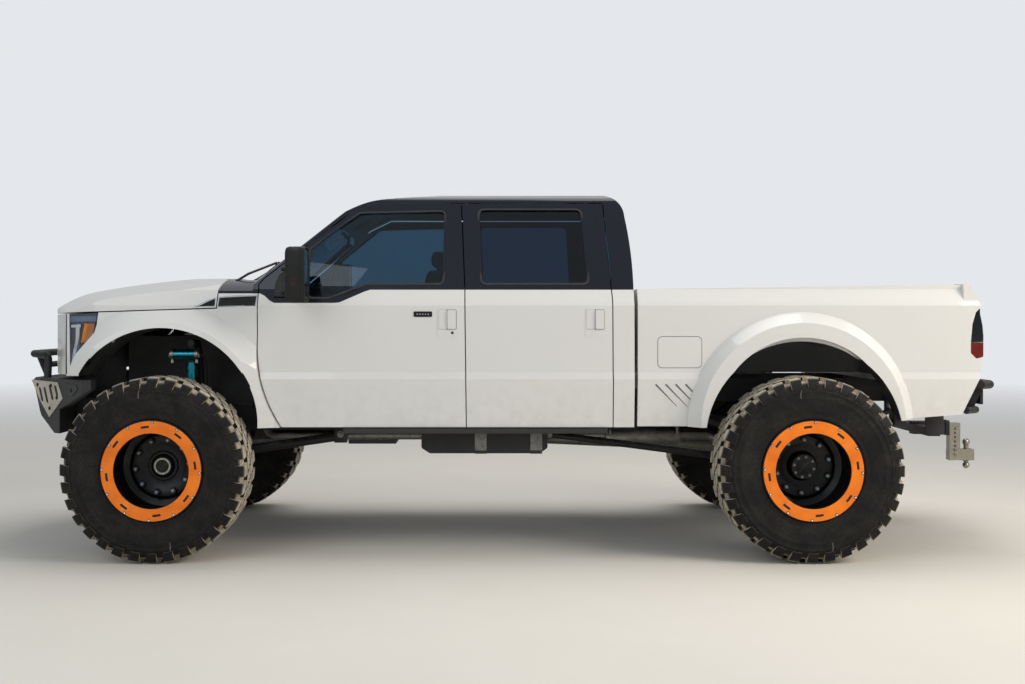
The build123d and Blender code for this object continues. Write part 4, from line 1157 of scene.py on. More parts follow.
@dataclass
class Wheel:
    """A deep black wheel with an orange clamping ring, its bolts, nuts and hub."""

    end: str
    side: Side
    face: float = 0.1935
    disc: float = -0.1125
    nut_circle: float = 0.1665
    nuts: int = 10
    ring_bolts: int = 12
    dashes: int = 8

    def build(self) -> None:
        """Builds the wheel onto its body."""
        piece = Piece(f"wheel_{self.end}_left_dressed", self.side)
        self.centre = LAYOUT.axle(self.end)
        self.barrel(piece)
        self.ring(piece)
        self.lug_nuts(piece)
        if self.end == "front":
            self.locking_hub(piece)
        else:
            self.floating_hub(piece)
        piece.build(f"wheel_{self.end}_left", "rim_black", bevel=0.0012, angle=40.0,
                    replaces=[f"wheel_{self.end}_left"])

    def at(self, radius: float, angle: float, across: float) -> Point:
        """A point of the wheel.

        Args:
            radius: Its distance from the axle.
            angle: Its angle in degrees.
            across: How far out it lies from the wheel's middle.

        Returns:
            The point in the truck's frame.
        """
        along, up = polar(radius, angle)
        return self.centre[0] + along, self.centre[1] + across, self.centre[2] + up

    def turn(self, piece: Piece, profile: Sequence[tuple[float, float]],
             segments: int = 96) -> None:
        """Adds a closed profile turned about the axle.

        Args:
            piece: The wheel.
            profile: (radius, offset across) points.
            segments: Steps round the axle.
        """
        piece.lathe(profile, self.centre, (0.0, 1.0, 0.0), segments, True)

    def barrel(self, piece: Piece) -> None:
        """Adds the barrel, its steps and the dished disc.

        Args:
            piece: The wheel.
        """
        piece.use(Finish.RIM)
        face, disc = self.face, self.disc
        self.turn(piece, (
            (0.3055, face - 0.0135), (0.3055, face - 0.0015), (0.3025, face - 0.0005),
            (0.225, face - 0.0030), (0.2245, face - 0.012), (0.236, face - 0.020),
            (0.252, face - 0.034), (0.2600, face - 0.050), (0.2600, disc + 0.070),
            (0.2500, disc + 0.052), (0.2480, disc + 0.014), (0.2480, disc - 0.050),
            (0.2600, disc - 0.060), (0.2600, -0.1660), (0.2690, -0.1660), (0.2690, 0.1640),
            (0.2850, 0.1790),
        ))
        self.turn(piece, (
            (0.2485, disc + 0.012), (0.232, disc + 0.004), (0.212, disc - 0.006),
            (0.198, disc + 0.000), (0.190, disc + 0.010), (0.142, disc + 0.010),
            (0.134, disc + 0.004), (0.094, disc + 0.004), (0.088, disc + 0.012),
            (0.060, disc + 0.012), (0.060, disc - 0.020), (0.2485, disc - 0.020),
        ))

    def ring(self, piece: Piece) -> None:
        """Adds the orange ring with its dashes and bolts.

        Args:
            piece: The wheel.
        """
        face = self.face
        piece.use(Finish.ORANGE)
        self.turn(piece, (
            (0.2275, face - 0.0035), (0.2275, face + 0.0025), (0.2290, face + 0.0038),
            (0.2990, face + 0.0038), (0.3008, face + 0.0022), (0.3008, face - 0.0035),
        ), 128)
        piece.use(Finish.RIM)
        for index in range(self.dashes):
            middle = -7.5 + 45.0 * index
            outline = []
            for radius, angles in ((0.2600, (-5.2, -1.7, 1.7, 5.2)),
                                   (0.2740, (5.2, 1.7, -1.7, -5.2))):
                outline += [(radius, middle + angle) for angle in angles]
            piece.loft([[self.at(r, a, face + lift) for r, a in outline]
                        for lift in (0.0030, 0.0042)])
        for index in range(self.ring_bolts):
            angle = 30.0 * index + 2.0
            piece.use(Finish.RIM)
            piece.lathe(((0.0, 0.0), (0.0092, 0.0), (0.0092, 0.0009), (0.0, 0.0009)),
                        self.at(0.2935, angle, face + 0.0034), (0.0, 1.0, 0.0), 16, True)
            piece.use(Finish.CHROME)
            piece.bolt(self.at(0.2935, angle, face + 0.0036), (0.0, 1.0, 0.0), 0.0066, 0.0044,
                       washer=False)

    def lug_nuts(self, piece: Piece) -> None:
        """Adds the nuts with their silver tips.

        Args:
            piece: The wheel.
        """
        seat = self.disc + 0.010
        for index in range(self.nuts):
            angle = 360.0 / self.nuts * index + (30.0 if self.end == "front" else 21.0)
            place = self.at(self.nut_circle, angle, seat)
            piece.use(Finish.RIM)
            piece.bolt(place, (0.0, 1.0, 0.0), 0.0175, 0.022)
            piece.use(Finish.NUT)
            piece.lathe(((0.0, 0.020), (0.0145, 0.020), (0.0145, 0.032), (0.0132, 0.0385),
                         (0.0090, 0.0435), (0.0040, 0.0455), (0.0, 0.0458)), place,
                        (0.0, 1.0, 0.0), 24, True)

    def locking_hub(self, piece: Piece) -> None:
        """Adds the front hub: a black drum with a silver-rimmed dial.

        Args:
            piece: The wheel.
        """
        disc = self.disc
        piece.use(Finish.RIM)
        self.turn(piece, (
            (0.0, disc - 0.010), (0.074, disc - 0.010), (0.074, disc + 0.014),
            (0.066, disc + 0.022), (0.060, disc + 0.026), (0.058, disc + 0.031),
            (0.0, disc + 0.031),
        ), 48)
        piece.use(Finish.ALUMINIUM)
        self.turn(piece, (
            (0.0535, disc + 0.026), (0.0535, disc + 0.0345), (0.0515, disc + 0.0370),
            (0.0405, disc + 0.0370), (0.0385, disc + 0.0350), (0.0385, disc + 0.026),
        ), 64)
        piece.use(Finish.RIM)
        self.turn(piece, (
            (0.0, disc + 0.026), (0.0380, disc + 0.026), (0.0380, disc + 0.0335),
            (0.0, disc + 0.0345),
        ), 48)
        piece.loft([[self.at(r, a, disc + far) for r, a in (
            (0.032, -14.0), (0.034, 0.0), (0.032, 14.0), (0.032, 166.0), (0.034, 180.0),
            (0.032, 194.0))] for far in (0.030, 0.0385)])
        piece.use(Finish.CHROME)
        for index in range(6):
            piece.bolt(self.at(0.0460, 60.0 * index + 20.0, disc + 0.0362), (0.0, 1.0, 0.0),
                       0.0032, 0.0022, washer=False)

    def floating_hub(self, piece: Piece) -> None:
        """Adds the rear hub: a deep dark drum with a flange of small bolts.

        Args:
            piece: The wheel.
        """
        disc = self.disc
        piece.use(Finish.RIM)
        self.turn(piece, (
            (0.0, disc - 0.010), (0.092, disc - 0.010), (0.092, disc + 0.010),
            (0.084, disc + 0.020), (0.078, disc + 0.052), (0.076, disc + 0.060),
            (0.079, disc + 0.062), (0.079, disc + 0.069), (0.076, disc + 0.072),
            (0.046, disc + 0.0725), (0.042, disc + 0.070), (0.0, disc + 0.070),
        ), 64)
        piece.use(Finish.STEEL)
        for index in range(8):
            piece.bolt(self.at(0.062, 45.0 * index + 11.0, disc + 0.0722), (0.0, 1.0, 0.0),
                       0.0068, 0.0055)


@dataclass
class Headlamp:
    """A smoked headlamp: bowl, chrome hook, amber reflector, lens and white front corner."""

    side: Side
    outline: tuple[tuple[float, float], ...] = (
        (2.600, 1.512), (2.788, 1.506), (2.789, 1.440), (2.782, 1.300), (2.779, 1.180),
        (2.781, 1.134), (2.776, 1.144), (2.728, 1.258), (2.668, 1.330), (2.617, 1.390),
    )
    corner: tuple[tuple[float, float], ...] = (
        (2.818, 1.5055), (2.870, 1.504), (2.920, 1.502), (2.966, 1.500), (2.966, 1.310),
        (2.966, 1.125), (2.920, 1.125), (2.870, 1.125), (2.822, 1.125), (2.822, 1.310),
    )

    def face_y(self, x: float) -> float:
        """The lamp face's half width at a place along the truck.

        Args:
            x: The place along the truck.

        Returns:
            The half width of the body there.
        """
        rows = ((2.400, 1.016), (2.520, 1.0125), (2.640, 1.000), (2.700, 0.985),
                (2.760, 0.9635), (2.810, 0.940), (2.850, 0.900), (2.900, 0.820),
                (2.945, 0.700), (2.966, 0.641))
        for (low, start), (high, end) in zip(rows, rows[1:]):
            if x <= high:
                return start + (end - start) * (x - low) / (high - low)
        return rows[-1][1]

    def layer(self, outline: Sequence[tuple[float, float]], lift: float) -> list[Point]:
        """Puts an outline on the lamp's face.

        Args:
            outline: (X, Z) points.
            lift: How far out it stands.

        Returns:
            The points.
        """
        return [(x, self.face_y(x) + lift, z) for x, z in outline]

    def plate(self, piece: Piece, outline: Sequence[tuple[float, float]], low: float,
              high: float) -> None:
        """Adds a plate that follows the lamp's face, in strips so that it bends.

        Args:
            piece: The lamp.
            outline: (X, Z) points.
            low: Its inner face's lift.
            high: Its outer face's lift.
        """
        piece.loft([self.layer(outline, low), self.layer(outline, high)])

    def build(self) -> None:
        """Builds the lamp's inner parts and its lens."""
        piece = Piece("headlamp_left_inner", self.side)
        piece.use(Finish.BLUE_SMOKE)
        self.plate(piece, self.outline, -0.050, -0.012)
        piece.use(Finish.LAMP_BLUE)
        for shape in (
            ((2.606, 1.494), (2.784, 1.489), (2.784, 1.455), (2.606, 1.460)),
            ((2.716, 1.450), (2.738, 1.450), (2.738, 1.350), (2.764, 1.180), (2.752, 1.200),
             (2.722, 1.290), (2.714, 1.370)),
        ):
            self.plate(piece, shape, -0.02, -0.004)
        piece.use(Finish.CHROME)
        for shape in (
            ((2.708, 1.441), (2.776, 1.438), (2.776, 1.419), (2.708, 1.422)),
            ((2.716, 1.440), (2.744, 1.440), (2.746, 1.340), (2.765, 1.258), (2.781, 1.165),
             (2.780, 1.142), (2.764, 1.172), (2.740, 1.275), (2.719, 1.372)),
        ):
            self.plate(piece, shape, -0.02, 0.0005)
        piece.use(Finish.AMBER)
        self.plate(piece, ((2.618, 1.444), (2.683, 1.446), (2.699, 1.374), (2.710, 1.324),
                           (2.662, 1.330), (2.625, 1.384)), -0.02, -0.001)
        piece.use(Finish.WHITE)
        self.plate(piece, ((2.790, 1.506), (2.808, 1.5055), (2.810, 1.300), (2.808, 1.126),
                           (2.786, 1.126), (2.787, 1.300)), -0.03, 0.0)
        self.plate(piece, self.corner, -0.03, 0.0)
        piece.use(Finish.PLASTIC)
        self.plate(piece, ((2.780, 1.500), (2.966, 1.496), (2.966, 1.130), (2.780, 1.130)),
                   -0.07, -0.035)
        self.plate(piece, self.outline, -0.062, -0.0505)
        piece.build("chassis", "lamp_lens", bevel=0.0015, replaces=["headlamps"])
        lens = Piece("headlamp_left_lens", self.side)
        lens.use(Finish.LAMP_GLASS)
        self.plate(lens, self.outline, 0.0015, 0.0045)
        lens.build("chassis", "lamp_lens", bevel=0.001)


@dataclass
class TailLamp:
    """A smoked tail lamp round the bed's rear corner, with a red lower window."""

    side: Side
    front: tuple[tuple[float, float], ...] = (
        (1.229, -2.872), (1.262, -2.838), (1.330, -2.838), (1.440, -2.847), (1.515, -2.868),
        (1.545, -2.892),
    )
    rear: tuple[tuple[float, float], ...] = (
        (1.229, -2.905), (1.240, -2.926), (1.370, -2.926), (1.435, -2.920), (1.500, -2.906),
        (1.545, -2.896),
    )

    def edge(self, rows: Sequence[tuple[float, float]], z: float) -> float:
        """An edge's X at a height.

        Args:
            rows: (Z, X) stations from the bottom.
            z: The height.

        Returns:
            The X there.
        """
        for (low, start), (high, end) in zip(rows, rows[1:]):
            if z <= high:
                return start + (end - start) * max(0.0, (z - low) / (high - low))
        return rows[-1][1]

    def section(self, z: float, out: float) -> list[Point]:
        """One level of the lamp.

        Args:
            z: The level's height.
            out: How far it stands out beyond the body's side.

        Returns:
            The section's corners.
        """
        front, rear = self.edge(self.front, z), self.edge(self.rear, z)
        side = LAYOUT.skin_y(z) - 0.006 + out
        depth = min(0.024, (front - rear) * 0.6)
        return [(front, side - 0.060, z), (front, side, z), (rear + depth, side, z),
                (rear + depth * 0.35, side - depth * 0.35, z), (rear, side - depth, z),
                (rear, 0.822, z), (rear + 0.016, 0.812, z), (front, 0.812, z)]

    def build(self) -> None:
        """Builds the lamp."""
        piece = Piece("tail_lamp_left_dressed", self.side)
        piece.use(Finish.RED)
        piece.loft([self.section(z, 0.0) for z in (1.232, 1.240, 1.262, 1.300, 1.328)])
        piece.use(Finish.LENS)
        piece.loft([self.section(z, 0.0) for z in (
            1.330, 1.370, 1.410, 1.435, 1.470, 1.500, 1.515, 1.530, 1.542)])
        piece.build("chassis", "lamp_lens", bevel=0.003, replaces=["tail_lamps"])


@dataclass
class Grille:
    """The grille's black mesh behind the white surround."""

    half_width: float = 0.600
    low: float = 1.150
    high: float = 1.470

    def build(self) -> None:
        """Builds the mesh."""
        piece = Piece("grille_mesh")
        piece.use(Finish.PLASTIC)
        step = 0.034
        count = int(self.half_width * 2 / step)
        for row in range(int((self.high - self.low) / step) + 1):
            z = self.low + row * step
            path = [(self.plane_x(y) - 0.052, y, z) for y in
                    [-self.half_width + self.half_width * 2 * k / 12 for k in range(13)]]
            piece.tube(path, 0.0035, 5)
        for column in range(count + 1):
            y = -self.half_width + column * self.half_width * 2 / count
            piece.tube([(self.plane_x(y) - 0.056, y, self.low),
                        (self.plane_x(y) - 0.052, y, self.high)], 0.0035, 5)
        piece.build("chassis", "black_plastic")

    def plane_x(self, y: float) -> float:
        """Where the nose lies at a distance from the middle."""
        return 2.975 - 0.045 * (y / 0.64) ** 2 - 0.020


@dataclass
class Mirror:
    """A tall towing mirror: housing, rim, two panes, smoked lamps, arms and foot."""

    side: Side
    x: tuple[float, float] = (1.262, 1.385)
    y: tuple[float, float] = (1.132, 1.3295)
    z: tuple[float, float] = (1.571, 1.909)

    def build(self) -> None:
        """Builds the mirror on the front door."""
        piece = Piece("mirror_left_dressed", self.side)
        piece.use(Finish.PLASTIC)
        rings = []
        for share, grow in ((0.0, -0.026), (0.03, -0.010), (0.10, 0.0), (0.75, 0.0),
                            (0.93, -0.007), (1.0, -0.024)):
            x = self.x[0] + 0.020 + (self.x[1] - self.x[0] - 0.020) * share
            rings.append([(x, a, b) for a, b in rectangle(
                (self.y[0] - grow, self.z[0] - grow), (self.y[1] + grow, self.z[1] + grow),
                max(0.008, 0.036 + grow * 0.6))])
        piece.loft(rings)
        rim = []
        for x, grow in ((self.x[0] + 0.028, 0.0), (self.x[0] + 0.004, 0.0),
                        (self.x[0], -0.004), (self.x[0] + 0.002, -0.012),
                        (self.x[0] + 0.020, -0.014)):
            rim.append([(x, a, b) for a, b in rectangle(
                (self.y[0] - grow, self.z[0] - grow), (self.y[1] + grow, self.z[1] + grow),
                0.030)])
        piece.loft(rim)
        for height in (1.640, 1.790):
            piece.tube([(1.452, 0.962, height - 0.004), (1.400, 1.050, height + 0.004),
                        (1.345, 1.160, height + 0.016)], 0.014, 14, 0.05)
        foot = [(1.290, 1.614), (1.505, 1.614), (1.500, 1.700), (1.478, 1.752), (1.420, 1.800),
                (1.298, 1.905), (1.292, 1.890)]
        piece.loft([[(a, self.foot_y(b) + lift, b) for a, b in foot] for lift in (-0.012, 0.010)])
        piece.use(Finish.CHROME)
        pane = rectangle((self.y[0] + 0.016, self.z[0] + 0.112),
                         (self.y[1] - 0.016, self.z[1] - 0.016), 0.020)
        spot = rectangle((self.y[0] + 0.016, self.z[0] + 0.016),
                         (self.y[1] - 0.016, self.z[0] + 0.100), 0.018)
        for outline in (pane, spot):
            piece.loft([[(x, a, b) for a, b in outline] for x in
                        (self.x[0] + 0.012, self.x[0] + 0.006)])
        piece.use(Finish.SMOKED_AMBER)
        for low in (1.668, 1.702):
            window = rectangle((1.316, low), (1.345, low + 0.026), 0.004)
            piece.prism(window, "Y", self.y[1] - 0.006, self.y[1] + 0.0008)
        piece.build("front_door_left", "black_plastic", bevel=0.002,
                    replaces=["mirror_left"])

    def foot_y(self, z: float) -> float:
        """The door frame's half width behind the mirror's foot."""
        return 0.956 - (z - 1.661) * 0.36 if z > 1.661 else LAYOUT.skin_y(z) + 0.002


@dataclass
class DoorTrim:
    """A door's handle pocket with its paddle, and the front one's lock and plaque."""

    side: Side
    end: str
    low: tuple[float, float] = (0.354, 1.364)
    high: tuple[float, float] = (0.483, 1.539)

    def build(self) -> None:
        """Builds the handle on its door."""
        shift = 0.0 if self.end == "front" else -0.921
        low = (self.low[0] + shift + 0.006, self.low[1])
        high = (self.high[0] + shift, self.high[1])
        piece = Piece(f"{self.end}_handle_left", self.side)
        piece.use(Finish.WHITE)
        frame = rectangle(low, high, 0.012)
        skin_plate(piece, frame, -0.010, 0.0022)
        piece.use(Finish.SHADE)
        skin_plate(piece, rectangle((low[0] + 0.004, low[1] + 0.045),
                                    (high[0] - 0.006, high[1] - 0.006), 0.008), 0.0021, 0.0024)
        piece.use(Finish.WHITE)
        skin_plate(piece, rectangle((low[0] + 0.062, low[1] + 0.047),
                                    (high[0] - 0.007, high[1] - 0.007), 0.008), 0.0021, 0.0027)
        skin_plate(piece, rectangle((low[0] + 0.007, low[1] + 0.048),
                                    (low[0] + 0.060, high[1] - 0.009), 0.006), 0.0021, 0.0125)
        if self.end == "front":
            piece.use(Finish.PLASTIC)
            place = (low[0] + 0.030, LAYOUT.skin_y(low[1]) + 0.002, low[1] + 0.024)
            piece.lathe(((0.0, 0.0), (0.0085, 0.0), (0.0085, 0.0022), (0.0, 0.0018)), place,
                        (0.0, 1.0, 0.0), 24, True)
            skin_plate(piece, rectangle((0.516, 1.487), (0.631, 1.521), 0.006), -0.002, 0.0035)
            piece.use(Finish.CHROME)
            for index in range(5):
                middle = (0.540 + 0.017 * index, LAYOUT.skin_y(1.504) + 0.0034, 1.504)
                piece.lathe(((0.0, 0.0), (0.0042, 0.0), (0.0042, 0.0008), (0.0, 0.0011)),
                            middle, (0.0, 1.0, 0.0), 12, True)
        piece.build(f"{self.end}_door_left", "pearl_white", bevel=0.0012)


@dataclass
class FenderTrim:
    """The fender's blank black vent trim with its chrome rim."""

    side: Side
    tip: tuple[tuple[float, float], ...] = (
        (2.004, 1.5445), (1.966, 1.566), (1.915, 1.592), (1.864, 1.609), (1.864, 1.5485),
    )
    rest: tuple[tuple[float, float], ...] = (
        (1.851, 1.612), (1.800, 1.619), (1.700, 1.624), (1.607, 1.625), (1.612, 1.552),
        (1.700, 1.550), (1.851, 1.546),
    )

    def y(self, z: float) -> float:
        """The fender side's half width at a height."""
        return 1.006 - max(0.0, z - 1.558) * 0.577

    def build(self) -> None:
        """Builds the trim on the fender, and its tip on the hood's side."""
        for name, body, outline in (("fender_trim_left", "chassis", self.rest),
                                    ("hood_trim_left", "hood", self.tip)):
            piece = Piece(name, self.side)
            inner = WINDOWS.grow(outline, -0.010)
            piece.use(Finish.CHROME)
            piece.loft([[(x, self.y(z) + lift, z) for x, z in outline]
                        for lift in (-0.004, 0.0040)])
            piece.use(Finish.GLOSS_BLACK)
            piece.loft([[(x, self.y(z) + lift, z) for x, z in inner]
                        for lift in (0.0035, 0.0056)])
            piece.build(body, "black_plastic", bevel=0.0012)


@dataclass
class BedTrim:
    """The bed side's fuel door, pressed slashes and rail caps, and its half of the floor's ribs."""

    side: Side
    rib_ends: tuple[float, float] = (-2.790, -0.960)
    rib_rows: tuple[float, ...] = (0.06, 0.18, 0.30, 0.42, 0.54)
    rib_half_width: float = 0.028
    floor_z: float = 1.160
    rib_height: float = 0.008

    def build(self) -> None:
        """Builds the trim on the bed side."""
        piece = Piece("bed_trim_left", self.side)
        if self.side is Side.LEFT:
            outer = rectangle((-1.164, 1.168), (-0.886, 1.367), 0.030)
            inner = rectangle((-1.160, 1.172), (-0.890, 1.363), 0.027)
            piece.use(Finish.SHADE)
            skin_plate(piece, outer, -0.002, 0.0005)
            piece.use(Finish.WHITE)
            skin_plate(piece, inner, -0.002, 0.0012)
        piece.use(Finish.SHADE)
        for index, (top, bottom) in enumerate((
            ((-0.874, 1.068), (-1.010, 0.928)), ((-0.936, 1.068), (-1.075, 0.926)),
            ((-0.998, 1.068), (-1.140, 0.924)), ((-1.060, 1.068), (-1.202, 0.922)),
        )):
            along = Vector((bottom[0] - top[0], bottom[1] - top[1])).normalized()
            across = Vector((-along.y, along.x)) * 0.006
            outline = [(top[0] + across.x, top[1] + across.y),
                       (top[0] - across.x, top[1] - across.y),
                       (bottom[0] - across.x * 0.3, bottom[1] - across.y * 0.3),
                       (bottom[0] + across.x * 0.3, bottom[1] + across.y * 0.3)]
            skin_plate(piece, outline, -0.002, 0.0006 + index * 0.00002)
        piece.use(Finish.PLASTIC)
        for x, z in ((-1.150, 1.6645), (-2.790, 1.6885)):
            piece.prism(rectangle((x - 0.024, 0.902), (x + 0.024, 0.942), 0.006), "Z",
                        z, z + 0.0025)
        piece.use(Finish.WHITE)
        for y in self.rib_rows:
            piece.prism(rectangle((self.rib_ends[0], y - self.rib_half_width),
                                  (self.rib_ends[1], y + self.rib_half_width), 0.012), "Z",
                        self.floor_z - 0.002, self.floor_z + self.rib_height)
        piece.build("chassis", "pearl_white", bevel=0.0006)


@dataclass
class Wipers:
    """Two parked wipers on the cowl."""

    pivots: tuple[Point, ...] = ((1.800, 0.600, 1.716), (1.800, -0.060, 1.738))
    length: float = 0.56
    lean: float = 37.8
    base: tuple[float, float] = (1.597, 1.735)

    def on_screen(self, y: float, up: float, lift: float) -> Point:
        """A point over the windscreen.

        Args:
            y: Its offset to the left.
            up: How far up the glass it lies from the base line.
            lift: Its height over the glass.

        Returns:
            The point.
        """
        out = 0.081 - (5.0 - math.sqrt(25.0 - y * y)) + lift
        sine, cosine = math.sin(math.radians(self.lean)), math.cos(math.radians(self.lean))
        return (self.base[0] + sine * out - cosine * up, y, self.base[1] + cosine * out + sine * up)

    def build(self) -> None:
        """Builds the arms and their blades."""
        piece = Piece("wipers")
        piece.use(Finish.PLASTIC)
        for x, y, z in self.pivots:
            piece.lathe(((0.0, 0.0), (0.018, 0.0), (0.015, 0.022), (0.0, 0.026)), (x, y, z - 0.004),
                        (0.25, 0.0, 1.0), 20, True)
            middle = y - 0.26 if y > 0 else y + 0.22
            tip = self.on_screen(middle, 0.075, 0.022)
            piece.tube([(x, y, z + 0.014), (x - 0.06, y - 0.03, z + 0.055), tip], 0.008, 8, 0.03)
            blade = [self.on_screen(middle + far * self.length, 0.066 + far * 0.06, 0.010)
                     for far in (-0.5, -0.25, 0.0, 0.25, 0.5)]
            piece.tube(blade, 0.0065, 8)
        piece.build("chassis", "black_plastic", bevel=0.0)


@dataclass
class FrontBumperTrim:
    """The front bumper's side plates, the light one a painted highlight of sun, with their slots
    and bolts.
    """

    out: Point = (0.698, 0.716, 0.0)

    def build(self) -> None:
        """Builds the details on the bumper."""
        for side in Side:
            piece = Piece("bumper_bolts_left", side)
            self.cheek(piece)
            piece.build("chassis", "chassis_black", bevel=0.001)

    def cheek(self, piece: Piece) -> None:
        """Adds the angled side face's plates, the first one a light painted highlight, four slots
        and the bolts.

        Args:
            piece: The piece it becomes part of.
        """
        # The light plate is a painted highlight of the sun on the black bumper's side face.
        piece.use(Finish.BUMPER_FACE)
        self.plate(piece, ((-0.245, 1.076), (0.104, 1.070), (0.174, 0.969), (-0.002, 0.842),
                           (-0.112, 0.930)), 0.0, 0.004)
        piece.use(Finish.IRON)
        self.plate(piece, ((0.196, 1.066), (0.345, 1.060), (0.362, 1.032), (0.300, 0.990),
                           (0.218, 0.985)), 0.0, 0.004)
        piece.use(Finish.GLOSS_BLACK)
        for a, z, tall in ((-0.112, 0.986, 0.046), (-0.046, 0.984, 0.050), (0.024, 1.002, 0.048),
                           (0.092, 1.014, 0.036)):
            slot = [(a + b - c * 0.45, z + c) for b, c in
                    rectangle((-0.0135, -tall), (0.0135, tall), 0.0134)]
            self.plate(piece, slot, 0.001, 0.0048)
        piece.use(Finish.CHASSIS)
        for a, z in ((-0.160, 1.046), (0.022, 1.046), (0.100, 0.972), (0.004, 0.900),
                     (0.285, 1.024)):
            piece.bolt(self.on_face(a, z, 0.003), self.out, 0.0105, 0.007)

    def on_face(self, along: float, z: float, lift: float) -> Point:
        """A point over the bumper's angled side face.

        Args:
            along: How far back along the face it lies.
            z: Its height.
            lift: How far it stands out.

        Returns:
            The point.
        """
        return (2.992 - 0.716 * along + 0.698 * lift, 0.7157 + 0.698 * along + 0.716 * lift, z)

    def plate(self, piece: Piece, outline: Sequence[tuple[float, float]], low: float,
              high: float) -> None:
        """Adds a flat plate on the angled side face.

        Args:
            piece: The piece it becomes part of.
            outline: (distance back, height) points.
            low: Its inner face's lift.
            high: Its outer face's lift.
        """
        piece.loft([[self.on_face(a, z, lift) for a, z in outline] for lift in (low, high)])


@dataclass
class CoilSpring:
    """One front coil spring."""

    side: Side
    radius: float = 0.055
    wire: float = 0.0085
    low: float = 0.652
    high: float = 1.008
    turns: float = 7.5

    def build(self) -> None:
        """Builds the coil."""
        piece = Piece("coil_spring_left", self.side)
        piece.use(Finish.CHASSIS)
        count = int(self.turns * 20)
        path = []
        for step in range(count + 1):
            angle = math.tau * self.turns * step / count
            share = step / count
            rise = share + math.sin(share * math.tau) * -0.02
            path.append((2.186 + self.radius * math.cos(angle),
                         0.560 + self.radius * math.sin(angle),
                         self.low + self.wire + (self.high - self.low - self.wire * 2) * rise))
        piece.tube(path, self.wire, 8)
        piece.use(Finish.PLASTIC)
        for z in (self.low, self.high - 0.012):
            piece.lathe(((0.0, 0.0), (0.044, 0.0), (0.044, 0.012), (0.0, 0.012)),
                        (2.186, 0.560, z), (0.0, 0.0, 1.0), 24, True)
        piece.build("chassis", "chassis_black", replaces=["front_springs"])


@dataclass
class ShockTrim:
    """The front reservoir's end caps and clamps, the hose and the tall shock's collars."""

    side: Side
    x: tuple[float, float] = (2.015, 2.195)
    z: float = 1.250
    y: float = 0.790

    def build(self) -> None:
        """Builds the trim round the shock and its reservoir."""
        piece = Piece("shock_trim_left", self.side)
        piece.use(Finish.ALUMINIUM)
        for x in (self.x[0] + 0.002, self.x[1] - 0.022):
            piece.lathe(((0.031, 0.0), (0.0375, 0.0), (0.0375, 0.020), (0.031, 0.020)),
                        (x, self.y, self.z), (1.0, 0.0, 0.0), 32, True)
            piece.box((x + 0.002, self.y - 0.012, self.z - 0.056),
                      (x + 0.018, self.y + 0.012, self.z - 0.030))
        for x, far in ((self.x[0], -1.0), (self.x[1], 1.0)):
            piece.lathe(((0.0, 0.0), (0.028, 0.0), (0.024, 0.008), (0.010, 0.012), (0.0, 0.012)),
                        (x, self.y, self.z), (far, 0.0, 0.0), 24, True)
        piece.use(Finish.TEAL)
        for z in (0.790, 1.150):
            piece.lathe(((0.0355, 0.0), (0.0395, 0.0), (0.0395, 0.030), (0.0355, 0.030)),
                        (2.069, 0.740, z), (0.0, 0.0, 1.0), 32, True)
        piece.use(Finish.PLASTIC)
        piece.tube([(2.010, self.y, self.z), (1.975, self.y, self.z - 0.020),
                    (1.966, self.y - 0.010, 1.10), (1.975, self.y - 0.03, 0.95),
                    (2.030, 0.75, 0.860)], 0.0075, 10, 0.05)
        piece.build("chassis", "teal_anodised", bevel=0.001)


